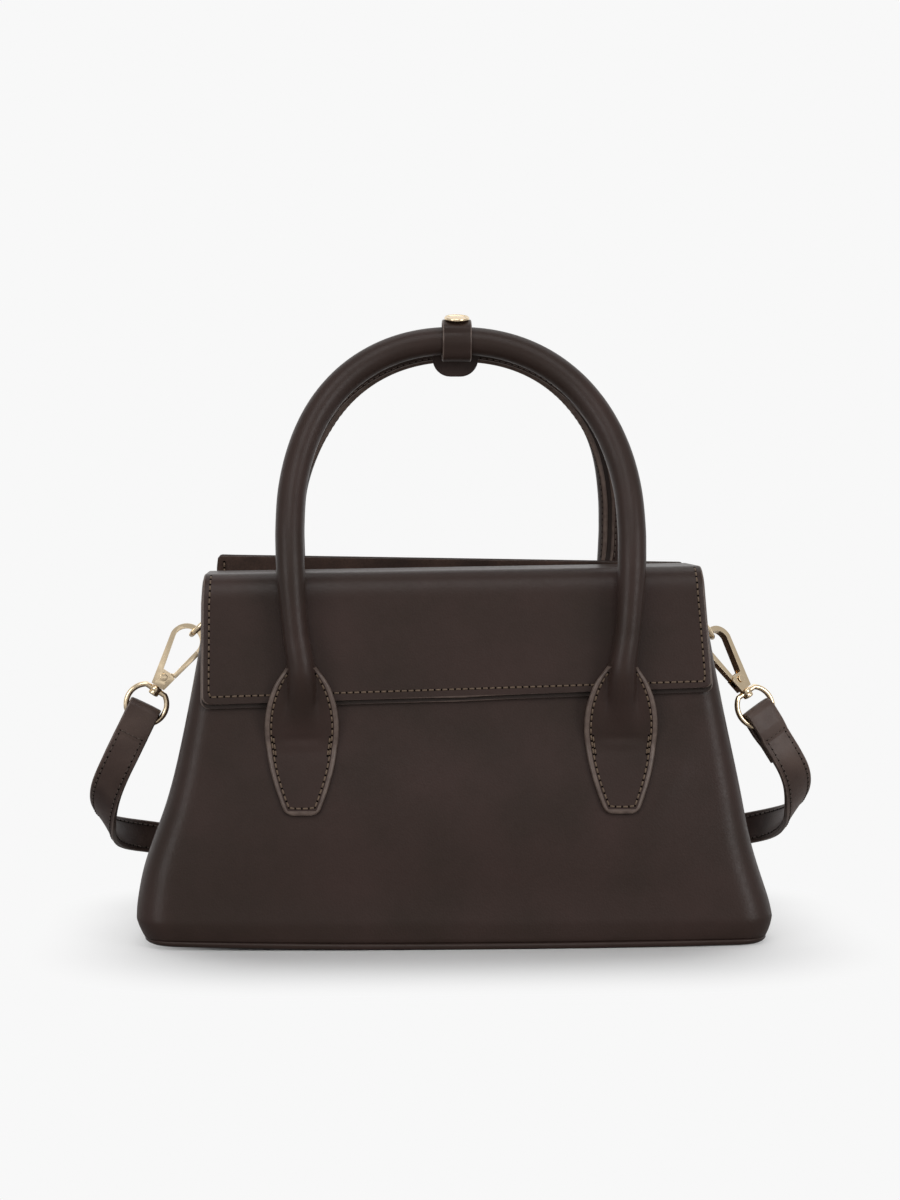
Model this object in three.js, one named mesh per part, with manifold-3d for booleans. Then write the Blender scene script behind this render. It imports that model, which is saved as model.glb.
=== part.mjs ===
// Leather top-handle bag with a front flap, two rolled handles and a detachable strap on swivel hooks.
// Millimetres, +Z up, +X to the viewer's right, the front faces -Y.
// The origin lies under the middle of the base, on the surface that the bag stands on.
import * as THREE from 'three';
import { mergeVertices } from 'three/addons/utils/BufferGeometryUtils.js';
import Module from 'manifold-3d';

const wasm = await Module();
wasm.setup();

// Clearance between pieces that touch
const SEAM = 0.3;

// Body
const BASE_WIDTH = 291;
const TOP_WIDTH = 226;
const BASE_DEPTH = 115;
const TOP_DEPTH = 72;
const BODY_HEIGHT = 164;
const SIDE_DIP = 2.6;
const FOOT_ROLL = 12;
const FOOT_FULLNESS = 0.75;
const BASE_CORNER = 16;
const TOP_CORNER = 8;
const GUSSET_PLEAT = 6;
const GUSSET_DROP = 6;
const LIP_RISE = 11.5;
const PANEL_LEATHER = 2;
const BASE_SHEET = 2.4;
const BASE_BOARD = 2.5;
const LINING = 1;
const LINING_DROP = 10;
const FACING_LAP = 7;

// Flap
const FLAP_WIDTH_CROWN = 229.2;
const FLAP_WIDTH_EDGE = 235.2;
const FLAP_SHIFT = -1.4;
const FLAP_WIDTH_HINGE = 200;
const FLAP_RISE = 7.5;
const FLAP_ROLL = 7;
const FLAP_DROP_LEFT = 53.2;
const FLAP_DROP_RIGHT = 46.4;
const FLAP_LEATHER = 1.7;
const FLAP_LINING = 1.2;
const FLAP_CLEAR = 1.2;
const HINGE_SETBACK = 8.5;
const HINGE_STRIP = 1.2;
const HINGE_STRIP_DROP = 21;
const MAGNET_RADIUS = 7;
const MAGNET_THICK = 0.9;
const MAGNET_DROP = 36;

// Handles
const HANDLE_RADIUS = 6.5;
const COVER_LEATHER = 1.8;
const COVER_SLIT = 4;
const ARCH_HALF = 78.7;
const ARCH_FOOT_RISE = 26;
const ARCH_RISE = 88.5;
const ARCH_POWER = 2.2;
const BACK_ARCH_DROP = 3;
const ARCH_SPREAD = 8.9;
const FRONT_LEG_OUT = 43.8;
const BACK_LEG_OUT = 40.4;
const CORE_START_RISE = 46;
const CORE_EASE = 0.6;
const TAB_PLACE = 73.3;
const TAB_CREASE_DROP = 72;
const TAB_CREASE_WIDTH = 32.3;
const TAB_CREASE_GAP = 1;
const TAB_FOOT_WIDTH = 14.7;
const TAB_DROP = 31.5;
const TAB_HEAD = 38;
const TAB_LEATHER = 2.4;
const TAB_FLAP_CLEAR = 0.8;

// Keeper round the two handles
const KEEPER_WIDTH = 13.6;
const KEEPER_LEATHER = 1.5;
const KEEPER_EASE = 0.7;
const KEEPER_PAD_RISE = 1.5;
const KEEPER_PAD_HALF = 5.9;
const KEEPER_TILT = 25;
const SNAP_RADIUS = 5.7;
const SNAP_HEIGHT = 1.6;
const KEEPER_TAB_WIDTH = 21;
const KEEPER_TAB_DROP = 16.8;
const KEEPER_TAB_LEATHER = 2;
const KEEPER_TAB_ROUND = 6.4;

// Side rings, hooks and swivel eyes
const WIRE_RADIUS = 1.3;
const RING_DROP = 12.5;
const RING_REACH = 16;
const RING_HALF = 7.6;
const CHAPE_LEATHER = 1.5;
const CHAPE_WIDTH = 11.5;
const CHAPE_LENGTH = 24;
const CHAPE_STAND = 0.5;
const HOOK_LENGTH = 33.8;
const HOOK_HALF = 8.6;
const HOOK_BAR = 2.4;
const HOOK_THICK = 4;
const HOOK_PLAY = 0.9;
const BLOCK_HALF = 3.4;
const BLOCK_HEIGHT = 8.2;
const NOSE_HEIGHT = 24;
const NOSE_STEP = 0.2;
const GATE_THICK = 3.2;
const GATE_SLOT = 2;
const PIN_RADIUS = 0.9;
const PIN_HEIGHT = 5.2;
const TONGUE_RADIUS = 1.8;
const PIN_HEAD_RADIUS = 1.75;
const PIN_HEAD = 0.5;
const SPRING_LEAF = 0.3;
const POST_RADIUS = 0.8;
const POST_HEAD_RADIUS = 1.2;
const COLLAR_RADIUS = 2.7;
const COLLAR_LENGTH = 4.4;
const EYE_RADIUS = 9.5;
const EYE_CHORD = 8;

// Strap
const STRAP_WIDTH = 15.5;
const STRAP_LEATHER = 2.4;
const STRAP_FOLD_LENGTH = 27;

// Heights that follow the body's height
const MAGNET_HEIGHT = BODY_HEIGHT - MAGNET_DROP;
const FLAP_EDGE_LEFT = BODY_HEIGHT - FLAP_DROP_LEFT;
const FLAP_EDGE_RIGHT = BODY_HEIGHT - FLAP_DROP_RIGHT;
const TAB_CREASE_HEIGHT = BODY_HEIGHT - TAB_CREASE_DROP;
const CORE_START = TAB_CREASE_HEIGHT + CORE_START_RISE;
const ARCH_FOOT = BODY_HEIGHT + ARCH_FOOT_RISE;
const ARCH_TOP = ARCH_FOOT + ARCH_RISE;
const RING_HEIGHT = BODY_HEIGHT - RING_DROP;

// How each side's hardware hangs, in degrees from the vertical, and its turn about the hook's axis
const LEFT_HANG = { sign: -1, ring: 47, hook: 33, hookRoll: 0, eyeRoll: 0 };
const RIGHT_HANG = { sign: 1, ring: 36, hook: 32, hookRoll: 35, eyeRoll: 22 };

// Route of the strap's middle line behind the bag: x, y, z and the lean of its upper edge in degrees.
const LEFT_ROUTE = [
  [-168.3, 5.5, 66, 50],
  [-170, 14, 57, 42],
  [-169.6, 25, 49.5, 34],
  [-167, 37, 44.5, 24],
  [-161, 50, 41, 14],
  [-148, 61, 37.5, 6],
  [-130, 66.5, 32.5, 0],
  [-105, 68.5, 23.5, 0],
  [-80, 68, 14.5, 0],
];
const HANK_ROUTE = [
  [-80, 68, 14.5, 0],
  [-55, 67.5, 9.6, 0],
  [-25, 67, 8, 0],
  [20, 67, 8, 0],
  [65, 67, 8, 0],
  [88, 69.5, 8, 0],
  [96.5, 77, 8, 0],
  [88, 84.5, 8, 0],
  [65, 87, 8, 0],
  [20, 87, 8, 0],
  [-20, 87, 8, 0],
  [-65, 87, 8, 0],
  [-88, 89.5, 8, 0],
  [-96.5, 97, 8, 0],
  [-88, 104.5, 8, 0],
  [-65, 107, 8, 0],
  [-20, 107, 8, 0],
  [25, 107, 8, 0],
  [60, 106, 9, 0],
  [84, 101, 13, 0],
];
const RIGHT_ROUTE = [
  [84, 101, 13, 0],
  [106, 91.5, 21.5, 0],
  [127, 79, 32, 0],
  [145, 66, 40.5, -6],
  [157, 53, 45, -14],
  [162.5, 40, 48.5, -24],
  [164.8, 27, 53, -34],
  [164.4, 15, 60, -42],
  [162, 6, 69, -46],
];

// Colours and finishes
const LEATHER = { color: 0x3a302c, roughness: 0.5, metalness: 0 };
const SUEDE = { color: 0x2e241c, roughness: 0.95, metalness: 0 };
const GOLD = { color: 0xd9bd8f, roughness: 0.25, metalness: 1 };
const BOARD_GREY = { color: 0x6b6258, roughness: 0.9, metalness: 0 };
const CORE_CORD = { color: 0x8c8070, roughness: 0.9, metalness: 0 };
const MAGNET_STEEL = { color: 0xb5b2ac, roughness: 0.35, metalness: 1 };

const DEGREE = Math.PI / 180;
const { lerp, clamp } = THREE.MathUtils;
const bag = new THREE.Group();

function vector(x, y, z) {
  return new THREE.Vector3(x, y, z);
}

function steps(first, last, count) {
  return Array.from({ length: count + 1 }, (_, i) => lerp(first, last, i / count));
}

function piece(name, geometry, finish, parent = bag) {
  const mesh = new THREE.Mesh(geometry, new THREE.MeshStandardMaterial(finish));
  mesh.name = name;
  parent.add(mesh);
  return mesh;
}

// A closed body from shared points and triangles, turned so that its faces point out.
function closedBody(points, faces) {
  let volume = 0;
  for (const [a, b, c] of faces) {
    volume += points[a].dot(vector(0, 0, 0).crossVectors(points[b], points[c]));
  }
  const outward = faces.flatMap(([a, b, c]) => (volume < 0 ? [a, c, b] : [a, b, c]));
  const geometry = new THREE.BufferGeometry();
  const places = points.flatMap((p) => p.toArray());
  geometry.setAttribute('position', new THREE.Float32BufferAttribute(places, 3));
  geometry.setIndex(outward);
  geometry.computeVertexNormals();
  return geometry;
}

// A sheet: two grids of points a thickness apart, joined round their four edges.
function sheet(outer, inner) {
  const rows = outer.length;
  const across = outer[0].length;
  const under = rows * across;
  const faces = [];
  const quad = (a, b, c, d) => faces.push([a, b, c], [a, c, d]);
  const wall = (a, b) => quad(a, b, under + b, under + a);
  for (let i = 0; i < rows - 1; i++) {
    for (let j = 0; j < across - 1; j++) {
      const a = i * across + j;
      quad(a, a + 1, a + across + 1, a + across);
      quad(under + a, under + a + across, under + a + across + 1, under + a + 1);
    }
  }
  for (let j = 0; j < across - 1; j++) {
    const top = (rows - 1) * across + j;
    wall(j + 1, j);
    wall(top, top + 1);
  }
  for (let i = 0; i < rows - 1; i++) {
    const left = i * across;
    const right = left + across - 1;
    wall(left, left + across);
    wall(right + across, right);
  }
  return closedBody([...outer.flat(), ...inner.flat()], faces);
}

// Side faces between rings of equal count, each ring closed on itself.
function ringFaces(ringCount, count, closed) {
  const faces = [];
  for (let i = 0; i < (closed ? ringCount : ringCount - 1); i++) {
    const next = ((i + 1) % ringCount) * count;
    for (let j = 0; j < count; j++) {
      const k = (j + 1) % count;
      faces.push([i * count + j, i * count + k, next + k], [i * count + j, next + k, next + j]);
    }
  }
  return faces;
}

// A body through rings, capped at both ends by the triangles of the flat section.
function loft(rings, section) {
  const count = section.length;
  const last = (rings.length - 1) * count;
  const cap = THREE.ShapeUtils.triangulateShape(section, []);
  const clockwise = THREE.ShapeUtils.isClockWise(section);
  const faces = ringFaces(rings.length, count, false);
  for (const [a, b, c] of cap) {
    faces.push(clockwise ? [a, b, c] : [a, c, b]);
    faces.push(clockwise ? [last + a, last + c, last + b] : [last + a, last + b, last + c]);
  }
  return closedBody(rings.flat(), faces);
}

// A closed hoop of round wire along a flat loop of points; normal is the loop's plane.
function hoop(line, radius, normal, sides) {
  const count = line.length;
  const rings = line.map((p, i) => {
    const ahead = line[(i + 1) % count].clone().sub(line[(i + count - 1) % count]).normalize();
    const out = vector(0, 0, 0).crossVectors(ahead, normal);
    return steps(0, 2 * Math.PI, sides)
      .slice(0, sides)
      .map((turn) => p.clone()
        .addScaledVector(out, radius * Math.cos(turn))
        .addScaledVector(normal, radius * Math.sin(turn)));
  });
  return closedBody(rings.flat(), ringFaces(count, sides, true));
}

// Rings of a flat section carried along points with their own cross directions.
function carried(line, section) {
  return line.map(({ at, first, second, scale = 1 }) => section.map((p) => at.clone()
    .addScaledVector(first, p.x * scale)
    .addScaledVector(second, p.y * scale)));
}

// A flat shape with a thickness, standing in the XZ plane with its middle at y = 0.
function plate(shape, thick, curveSegments = 6) {
  const geometry = new THREE.ExtrudeGeometry(shape, { depth: thick, bevelEnabled: false, curveSegments });
  geometry.translate(0, 0, -thick / 2);
  geometry.rotateX(Math.PI / 2);
  return geometry;
}

function polygon(points) {
  return new THREE.Shape(points.map(([x, y]) => new THREE.Vector2(x, y)));
}

function turned(profile, sides) {
  return new THREE.LatheGeometry(profile.map(([r, h]) => new THREE.Vector2(r, h)), sides);
}

function box(low, high) {
  const size = high.clone().sub(low);
  const middle = low.clone().add(high).multiplyScalar(0.5);
  const geometry = new THREE.BoxGeometry(size.x, size.y, size.z);
  return geometry.translate(middle.x, middle.y, middle.z);
}

function solid(geometry) {
  const bare = geometry.clone();
  bare.deleteAttribute('normal');
  bare.deleteAttribute('uv');
  const merged = mergeVertices(bare, 1e-4);
  const corners = merged.index.array;
  const triVerts = [];
  for (let i = 0; i < corners.length; i += 3) {
    const [a, b, c] = corners.slice(i, i + 3);
    if (a !== b && b !== c && c !== a) triVerts.push(a, b, c);
  }
  return new wasm.Manifold(new wasm.Mesh({
    numProp: 3,
    vertProperties: Float32Array.from(merged.attributes.position.array),
    triVerts: Uint32Array.from(triVerts),
  }));
}

function geometryOf(manifold) {
  const mesh = manifold.getMesh();
  const geometry = new THREE.BufferGeometry();
  geometry.setAttribute('position', new THREE.BufferAttribute(Float32Array.from(mesh.vertProperties), 3));
  geometry.setIndex(new THREE.BufferAttribute(Uint32Array.from(mesh.triVerts), 1));
  geometry.computeVertexNormals();
  return geometry;
}

// Shape of the body: half sizes of its rounded section at a height.
function rise(z) {
  return Math.max((z - FOOT_ROLL) / (BODY_HEIGHT - FOOT_ROLL), 0);
}

function footInset(z) {
  const drop = Math.max(FOOT_ROLL - z, 0);
  return FOOT_ROLL - Math.sqrt(FOOT_ROLL ** 2 - drop ** 2);
}

function halfWidth(z) {
  const u = rise(z);
  const dip = 4 * SIDE_DIP * Math.max(u * (1 - u), 0);
  return lerp(BASE_WIDTH, TOP_WIDTH, u) / 2 - dip - footInset(z);
}

function halfDepth(z) {
  return lerp(BASE_DEPTH, TOP_DEPTH, rise(z)) / 2 - footInset(z);
}

function cornerRadius(z) {
  return lerp(BASE_CORNER, TOP_CORNER, Math.min(rise(z), 1)) - footInset(z);
}

function pleat(z, along) {
  return GUSSET_PLEAT * Math.min(rise(z), 1) * (1 - along ** 2);
}

// The front and back stand fuller over the foot in their middle than at the corners.
function footBelly(z, along) {
  return FOOT_FULLNESS * footInset(z) * (1 - along ** 2);
}

// Outer face of a gusset's middle line.
function gussetFace(z) {
  return halfWidth(z) - pleat(z, 0);
}

const PANEL_LEAN = Math.atan((BASE_DEPTH - TOP_DEPTH) / 2 / (BODY_HEIGHT - FOOT_ROLL));
const PANEL_FOOT = BASE_SHEET + SEAM;
const LINING_INSET = PANEL_LEATHER + SEAM;
const ARC_STEPS = 3;

// Columns across one panel: half of each corner arc and the flat run between them.
function panelColumns(flatSteps, reach) {
  const arc = steps(reach, 0, ARC_STEPS);
  return [
    ...arc.map((turn) => ({ turn: -turn, along: -1 })),
    ...steps(-1, 1, flatSteps).slice(1, -1).map((along) => ({ turn: 0, along })),
    ...arc.reverse().map((turn) => ({ turn, along: 1 })),
  ];
}

// A point of the body's wall, inset from its outer face. Side is front, back, left or right.
function wallPoint(side, column, z, inset) {
  const onGusset = side === 'left' || side === 'right';
  const half = onGusset ? halfDepth(z) : halfWidth(z);
  const reach = onGusset ? halfWidth(z) : halfDepth(z);
  const radius = cornerRadius(z);
  const across = column.along * (half - radius) + Math.sin(column.turn) * (radius - inset);
  const fold = onGusset ? pleat(z, column.along) : -footBelly(z, column.along);
  const out = reach - radius + Math.cos(column.turn) * (radius - inset) - fold;
  const places = {
    front: [across, -out],
    back: [-across, out],
    right: [out, across],
    left: [-out, -across],
  };
  return vector(...places[side], z);
}

// A panel's columns stop half a seam short of the middle of each corner arc.
function wallSheet(side, heights, inset, thick, flatSteps) {
  const rows = (depth) => heights.map((z) => {
    const reach = Math.PI / 4 - SEAM / (2 * (cornerRadius(z) - thick - inset));
    return panelColumns(flatSteps, reach).map((column) => wallPoint(side, column, z, depth));
  });
  return sheet(rows(inset), rows(inset + thick));
}

// The whole section of the body as one closed ring.
function wallRing(z, inset) {
  const sides = [['front', 8], ['right', 6], ['back', 8], ['left', 6]];
  return sides.flatMap(([side, flat]) => panelColumns(flat, Math.PI / 4)
    .slice(0, -1)
    .map((column) => wallPoint(side, column, z, inset)));
}

function flatRing(ring) {
  return ring.map((p) => new THREE.Vector2(p.x, p.y));
}

const WALL_ROWS = 12;
const FOOT_MIDDLE = FOOT_ROLL * 0.62;

// Heights of a wall's rows, close together on the rolled foot.
function panelHeights(top) {
  const foot = [PANEL_FOOT, FOOT_ROLL * 0.35, FOOT_MIDDLE, FOOT_ROLL];
  const lip = top > BODY_HEIGHT ? [top] : [];
  return [...foot, ...steps(FOOT_ROLL, Math.min(top, BODY_HEIGHT), WALL_ROWS).slice(1), ...lip];
}

function makeWalls() {
  const lipTop = BODY_HEIGHT + LIP_RISE;
  const gussetTop = BODY_HEIGHT - GUSSET_DROP;
  const front = solid(wallSheet('front', panelHeights(BODY_HEIGHT), 0, PANEL_LEATHER, 8));
  const recess = turned([[0, 0], [MAGNET_RADIUS + SEAM, 0], [MAGNET_RADIUS + SEAM, 2], [0, 2]], 16);
  recess.translate(0, -MAGNET_THICK - SEAM, 0);
  recess.applyMatrix4(panelFaceFrame(MAGNET_HEIGHT));
  piece('front_panel', geometryOf(front.subtract(solid(recess))), LEATHER);
  piece('back_panel', wallSheet('back', panelHeights(lipTop), 0, PANEL_LEATHER, 8), LEATHER);
  piece('left_gusset', wallSheet('left', panelHeights(gussetTop), 0, PANEL_LEATHER, 6), LEATHER);
  piece('right_gusset', wallSheet('right', panelHeights(gussetTop), 0, PANEL_LEATHER, 6), LEATHER);
  const facing = [BODY_HEIGHT - FACING_LAP, BODY_HEIGHT, lipTop];
  piece('lip_facing', wallSheet('back', facing, LINING_INSET, LINING, 8), SUEDE);
}

// Frame on the front panel's outer face: local +Y points out of the panel.
function panelFaceFrame(z) {
  const up = vector(0, Math.sin(PANEL_LEAN), Math.cos(PANEL_LEAN));
  const out = vector(0, -Math.cos(PANEL_LEAN), Math.sin(PANEL_LEAN));
  const frame = new THREE.Matrix4().makeBasis(vector(0, 0, 0).crossVectors(out, up), out, up);
  return frame.setPosition(0, -halfDepth(z), z);
}

function makeBase() {
  const edge = [0, BASE_SHEET / 3, BASE_SHEET].map((z) => wallRing(z, 0));
  piece('base_sheet', loft(edge, flatRing(edge[0])), LEATHER);
  const outline = wallRing(PANEL_FOOT, LINING_INSET);
  const rings = [PANEL_FOOT, PANEL_FOOT + BASE_BOARD].map((z) => outline.map((p) => vector(p.x, p.y, z)));
  piece('base_board', loft(rings, flatRing(outline)), BOARD_GREY);
}

// The lining is an open cup: outer rings, the rim, inner rings and the floor.
function makeLining() {
  const under = PANEL_FOOT + BASE_BOARD + SEAM;
  const floor = under + LINING;
  const top = BODY_HEIGHT - LINING_DROP;
  const heights = [FOOT_MIDDLE, FOOT_ROLL, ...steps(FOOT_ROLL, top, WALL_ROWS).slice(1)];
  const outer = [under, ...heights].map((z) => wallRing(z, LINING_INSET));
  const inner = [floor, ...heights].map((z) => wallRing(z, LINING_INSET + LINING)).reverse();
  piece('suede_lining', loft([...outer, ...inner], flatRing(outer[0])), SUEDE);
}

const FLAP_STACK = FLAP_LINING + SEAM + FLAP_LEATHER;
const FLAP_UNDER = BODY_HEIGHT + FLAP_RISE - FLAP_STACK;
const HINGE_Y = TOP_DEPTH / 2 - HINGE_SETBACK;
const HINGE_Z = BODY_HEIGHT - 1;
const FLAP_DROP_TOP = FLAP_UNDER - FLAP_ROLL - FLAP_ROLL * Math.sin(PANEL_LEAN);

// Underside of the flap from its hinge over the mouth and down the front, as rows of y, height and half width.
function flapRows() {
  const dropY = (z) => -(halfDepth(z) + FLAP_CLEAR);
  const rollY = dropY(FLAP_DROP_TOP) + FLAP_ROLL * Math.cos(PANEL_LEAN);
  const rollZ = FLAP_UNDER - FLAP_ROLL;
  const crown = FLAP_WIDTH_CROWN / 2;
  const bend = new THREE.QuadraticBezierCurve(
    new THREE.Vector2(HINGE_Y, HINGE_Z),
    new THREE.Vector2(HINGE_Y - 1.5, FLAP_UNDER),
    new THREE.Vector2(HINGE_Y - 12, FLAP_UNDER),
  );
  const back = steps(0, 1, 4).map((t) => {
    const p = bend.getPoint(t);
    return { y: p.x, z: p.y, half: lerp(FLAP_WIDTH_HINGE / 2, crown, t) };
  });
  const roll = steps(Math.PI / 2, Math.PI + PANEL_LEAN, 5).map((turn) => ({
    y: rollY + FLAP_ROLL * Math.cos(turn),
    z: rollZ + FLAP_ROLL * Math.sin(turn),
    half: crown,
  }));
  const drop = steps(0, 1, 4).slice(1).map((share) => ({
    share,
    half: lerp(crown, FLAP_WIDTH_EDGE / 2, share),
  }));
  return [...back, ...roll, ...drop];
}

function flapEdge(share) {
  return lerp(FLAP_EDGE_LEFT, FLAP_EDGE_RIGHT, (share + 1) / 2);
}

// A grid of the flap's surface, moved out from the underside by a distance.
function flapGrid(distance) {
  const rows = flapRows();
  const column = (share) => {
    const line = rows.map((row) => {
      if (row.share === undefined) return new THREE.Vector2(row.y, row.z);
      const z = lerp(FLAP_DROP_TOP, flapEdge(share), row.share);
      return new THREE.Vector2(-(halfDepth(z) + FLAP_CLEAR), z);
    });
    return line.map((p, i) => {
      const before = line[Math.max(i - 1, 0)];
      const after = line[Math.min(i + 1, line.length - 1)];
      const ahead = after.clone().sub(before).normalize();
      const across = FLAP_SHIFT + share * rows[i].half;
      return vector(across, p.x + ahead.y * distance, p.y - ahead.x * distance);
    });
  };
  const columns = steps(-1, 1, 8).map(column);
  return rows.map((_, i) => columns.map((points) => points[i]));
}

function makeFlap() {
  const lining = solid(sheet(flapGrid(FLAP_LINING), flapGrid(0)));
  const hole = turned([[0, -2], [MAGNET_RADIUS + SEAM, -2], [MAGNET_RADIUS + SEAM, 2], [0, 2]], 16);
  hole.translate(0, FLAP_CLEAR, 0);
  hole.applyMatrix4(panelFaceFrame(MAGNET_HEIGHT));
  piece('flap_lining', geometryOf(lining.subtract(solid(hole))), SUEDE);
  const outer = flapGrid(FLAP_STACK);
  const inner = flapGrid(FLAP_LINING + SEAM);
  piece('flap_leather', sheet(outer, inner), LEATHER);
  const disc = [[0, 0], [MAGNET_RADIUS, 0], [MAGNET_RADIUS, MAGNET_THICK], [0, MAGNET_THICK]];
  const panelMagnet = turned(disc, 16).translate(0, -MAGNET_THICK, 0);
  piece('panel_magnet', panelMagnet.applyMatrix4(panelFaceFrame(MAGNET_HEIGHT)), MAGNET_STEEL);
  const flapMagnet = turned(disc, 16).translate(0, FLAP_CLEAR + FLAP_LINING - MAGNET_THICK, 0);
  piece('flap_magnet', flapMagnet.applyMatrix4(panelFaceFrame(MAGNET_HEIGHT)), MAGNET_STEEL);
}

// The strip that holds the flap runs up the lining's back wall and bends forward to the hinge.
function makeHingeStrip() {
  const wallY = (z) => halfDepth(z) - LINING_INSET - LINING - SEAM;
  const foot = BODY_HEIGHT - HINGE_STRIP_DROP;
  const bendZ = BODY_HEIGHT - LINING_DROP;
  const bend = new THREE.QuadraticBezierCurve(
    new THREE.Vector2(wallY(bendZ), bendZ),
    new THREE.Vector2(wallY(bendZ), HINGE_Z - 2),
    new THREE.Vector2(HINGE_Y + SEAM, HINGE_Z - SEAM),
  );
  const line = [new THREE.Vector2(wallY(foot), foot), ...bend.getPoints(4)];
  const grid = (distance) => line.map((p, i) => {
    const before = line[Math.max(i - 1, 0)];
    const after = line[Math.min(i + 1, line.length - 1)];
    const ahead = after.clone().sub(before).normalize();
    return steps(-1, 1, 4).map((share) => vector(
      share * FLAP_WIDTH_HINGE / 2,
      p.x - ahead.y * distance,
      p.y + ahead.x * distance,
    ));
  });
  piece('flap_hinge_strip', sheet(grid(0), grid(HINGE_STRIP)), LEATHER);
}

// Frame on a tab: local X across, local Y up along the tab, local Z out of the bag.
function tabFrame(side, x, lean) {
  const up = vector(0, side * Math.sin(lean), Math.cos(lean));
  const out = vector(0, side * Math.cos(lean), -Math.sin(lean));
  const frame = new THREE.Matrix4().makeBasis(vector(-side, 0, 0), up, out);
  return frame.setPosition(x, side * (halfDepth(TAB_CREASE_HEIGHT) + SEAM), TAB_CREASE_HEIGHT);
}

// The front tabs lean out over the flap's lower edge; the back tabs follow their panel.
function headLean(side) {
  if (side > 0) return -PANEL_LEAN;
  const edge = Math.min(FLAP_EDGE_LEFT, FLAP_EDGE_RIGHT);
  const flapFace = halfDepth(edge) + FLAP_CLEAR + FLAP_STACK;
  const stand = flapFace + TAB_FLAP_CLEAR - halfDepth(TAB_CREASE_HEIGHT) - SEAM;
  return Math.atan(stand / (edge - TAB_CREASE_HEIGHT));
}

function tabFootShape() {
  const foot = TAB_FOOT_WIDTH / 2;
  const crease = TAB_CREASE_WIDTH / 2;
  const shape = new THREE.Shape();
  shape.moveTo(-foot, -TAB_DROP);
  shape.lineTo(foot, -TAB_DROP);
  shape.bezierCurveTo(foot + 3.7, 8.5 - TAB_DROP, crease - 0.9, -11, crease, -TAB_CREASE_GAP / 2);
  shape.lineTo(-crease, -TAB_CREASE_GAP / 2);
  shape.bezierCurveTo(0.9 - crease, -11, -foot - 3.7, 8.5 - TAB_DROP, -foot, -TAB_DROP);
  return shape;
}

function tabHeadShape() {
  const crease = TAB_CREASE_WIDTH / 2;
  const shape = new THREE.Shape();
  shape.moveTo(-crease, TAB_CREASE_GAP / 2);
  shape.lineTo(crease, TAB_CREASE_GAP / 2);
  shape.bezierCurveTo(crease + 1.85, 10, crease + 0.85, TAB_HEAD - 13, HANDLE_RADIUS, TAB_HEAD);
  shape.lineTo(-HANDLE_RADIUS, TAB_HEAD);
  shape.bezierCurveTo(-crease - 0.85, TAB_HEAD - 13, -crease - 1.85, 10, -crease, TAB_CREASE_GAP / 2);
  return shape;
}

function tabSolid(shape, frame) {
  const options = { depth: TAB_LEATHER, bevelEnabled: false, curveSegments: 6 };
  return new THREE.ExtrudeGeometry(shape, options).applyMatrix4(frame);
}

// Middle line of a handle from the left tab over the arch to the right tab.
function handleLine(side) {
  const lean = headLean(side);
  const top = side < 0 ? ARCH_TOP : ARCH_TOP - BACK_ARCH_DROP;
  const legOut = side < 0 ? FRONT_LEG_OUT : BACK_LEG_OUT;
  const legs = [[12, 2.8], [20, 4.2], [30, 5.6]].map(([up, out]) => {
    const p = vector(0, up, out).applyMatrix4(tabFrame(side, TAB_PLACE, lean));
    return [p.x + 0.01 * up, p.y, p.z];
  });
  const [, neckY, neckZ] = legs.at(-1);
  const rises = [[0.18, 0.02], [0.42, 0.16], [0.72, 0.5], [0.9, 0.82]];
  const neck = rises.map(([up, inward]) => [
    lerp(TAB_PLACE, ARCH_HALF, Math.sin(up * Math.PI / 2)),
    lerp(neckY, side * legOut, inward),
    lerp(neckZ, ARCH_FOOT, up),
  ]);
  const arch = steps(0, Math.PI / 2, 9).map((turn) => {
    const up = Math.sin(turn) ** (2 / ARCH_POWER);
    const across = Math.cos(turn) ** (2 / ARCH_POWER);
    return [
      ARCH_HALF * across,
      side * lerp(legOut, ARCH_SPREAD, up),
      lerp(ARCH_FOOT, top, up),
    ];
  });
  const right = [...legs, ...neck, ...arch.slice(0, -1)];
  const mirrored = right.map(([x, y, z]) => [-x, y, z]);
  const all = [...mirrored, [0, side * ARCH_SPREAD, top], ...right.reverse()];
  return new THREE.CatmullRomCurve3(all.map((p) => vector(...p)), false, 'centripetal');
}

// Cross directions along a handle: the first points to the inside of the arch.
function handleStations(curve, low, high, count) {
  return steps(low, high, count).map((t) => {
    const at = curve.getPointAt(t);
    const ahead = curve.getTangentAt(t);
    const first = vector(-at.x, 0, Math.min(ARCH_FOOT - at.z, 0));
    first.addScaledVector(ahead, -first.dot(ahead)).normalize();
    const second = vector(0, 0, 0).crossVectors(ahead, first);
    const end = Math.min(t, 1 - t) * curve.getLength();
    const scale = lerp(0.45, 1, clamp(end / 26, 0, 1));
    return { at, first, second, scale };
  });
}

// Section of the rolled cover: a tube that stays open along the inside of the arch.
function coverSection() {
  const inner = HANDLE_RADIUS - COVER_LEATHER;
  const slit = Math.asin(COVER_SLIT / 2 / HANDLE_RADIUS);
  const arc = (radius, gap, count) => steps(gap, 2 * Math.PI - gap, count)
    .map((turn) => new THREE.Vector2(radius * Math.cos(turn), radius * Math.sin(turn)));
  return [...arc(HANDLE_RADIUS, slit, 12), ...arc(inner, Math.asin(COVER_SLIT / 2 / inner), 9).reverse()];
}

function roundSection(radius, sides) {
  return steps(0, 2 * Math.PI, sides)
    .slice(0, sides)
    .map((turn) => new THREE.Vector2(radius * Math.cos(turn), radius * Math.sin(turn)));
}

function shareAtHeight(curve, height) {
  return steps(0, 0.4, 400).find((t) => curve.getPointAt(t).z >= height);
}

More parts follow.
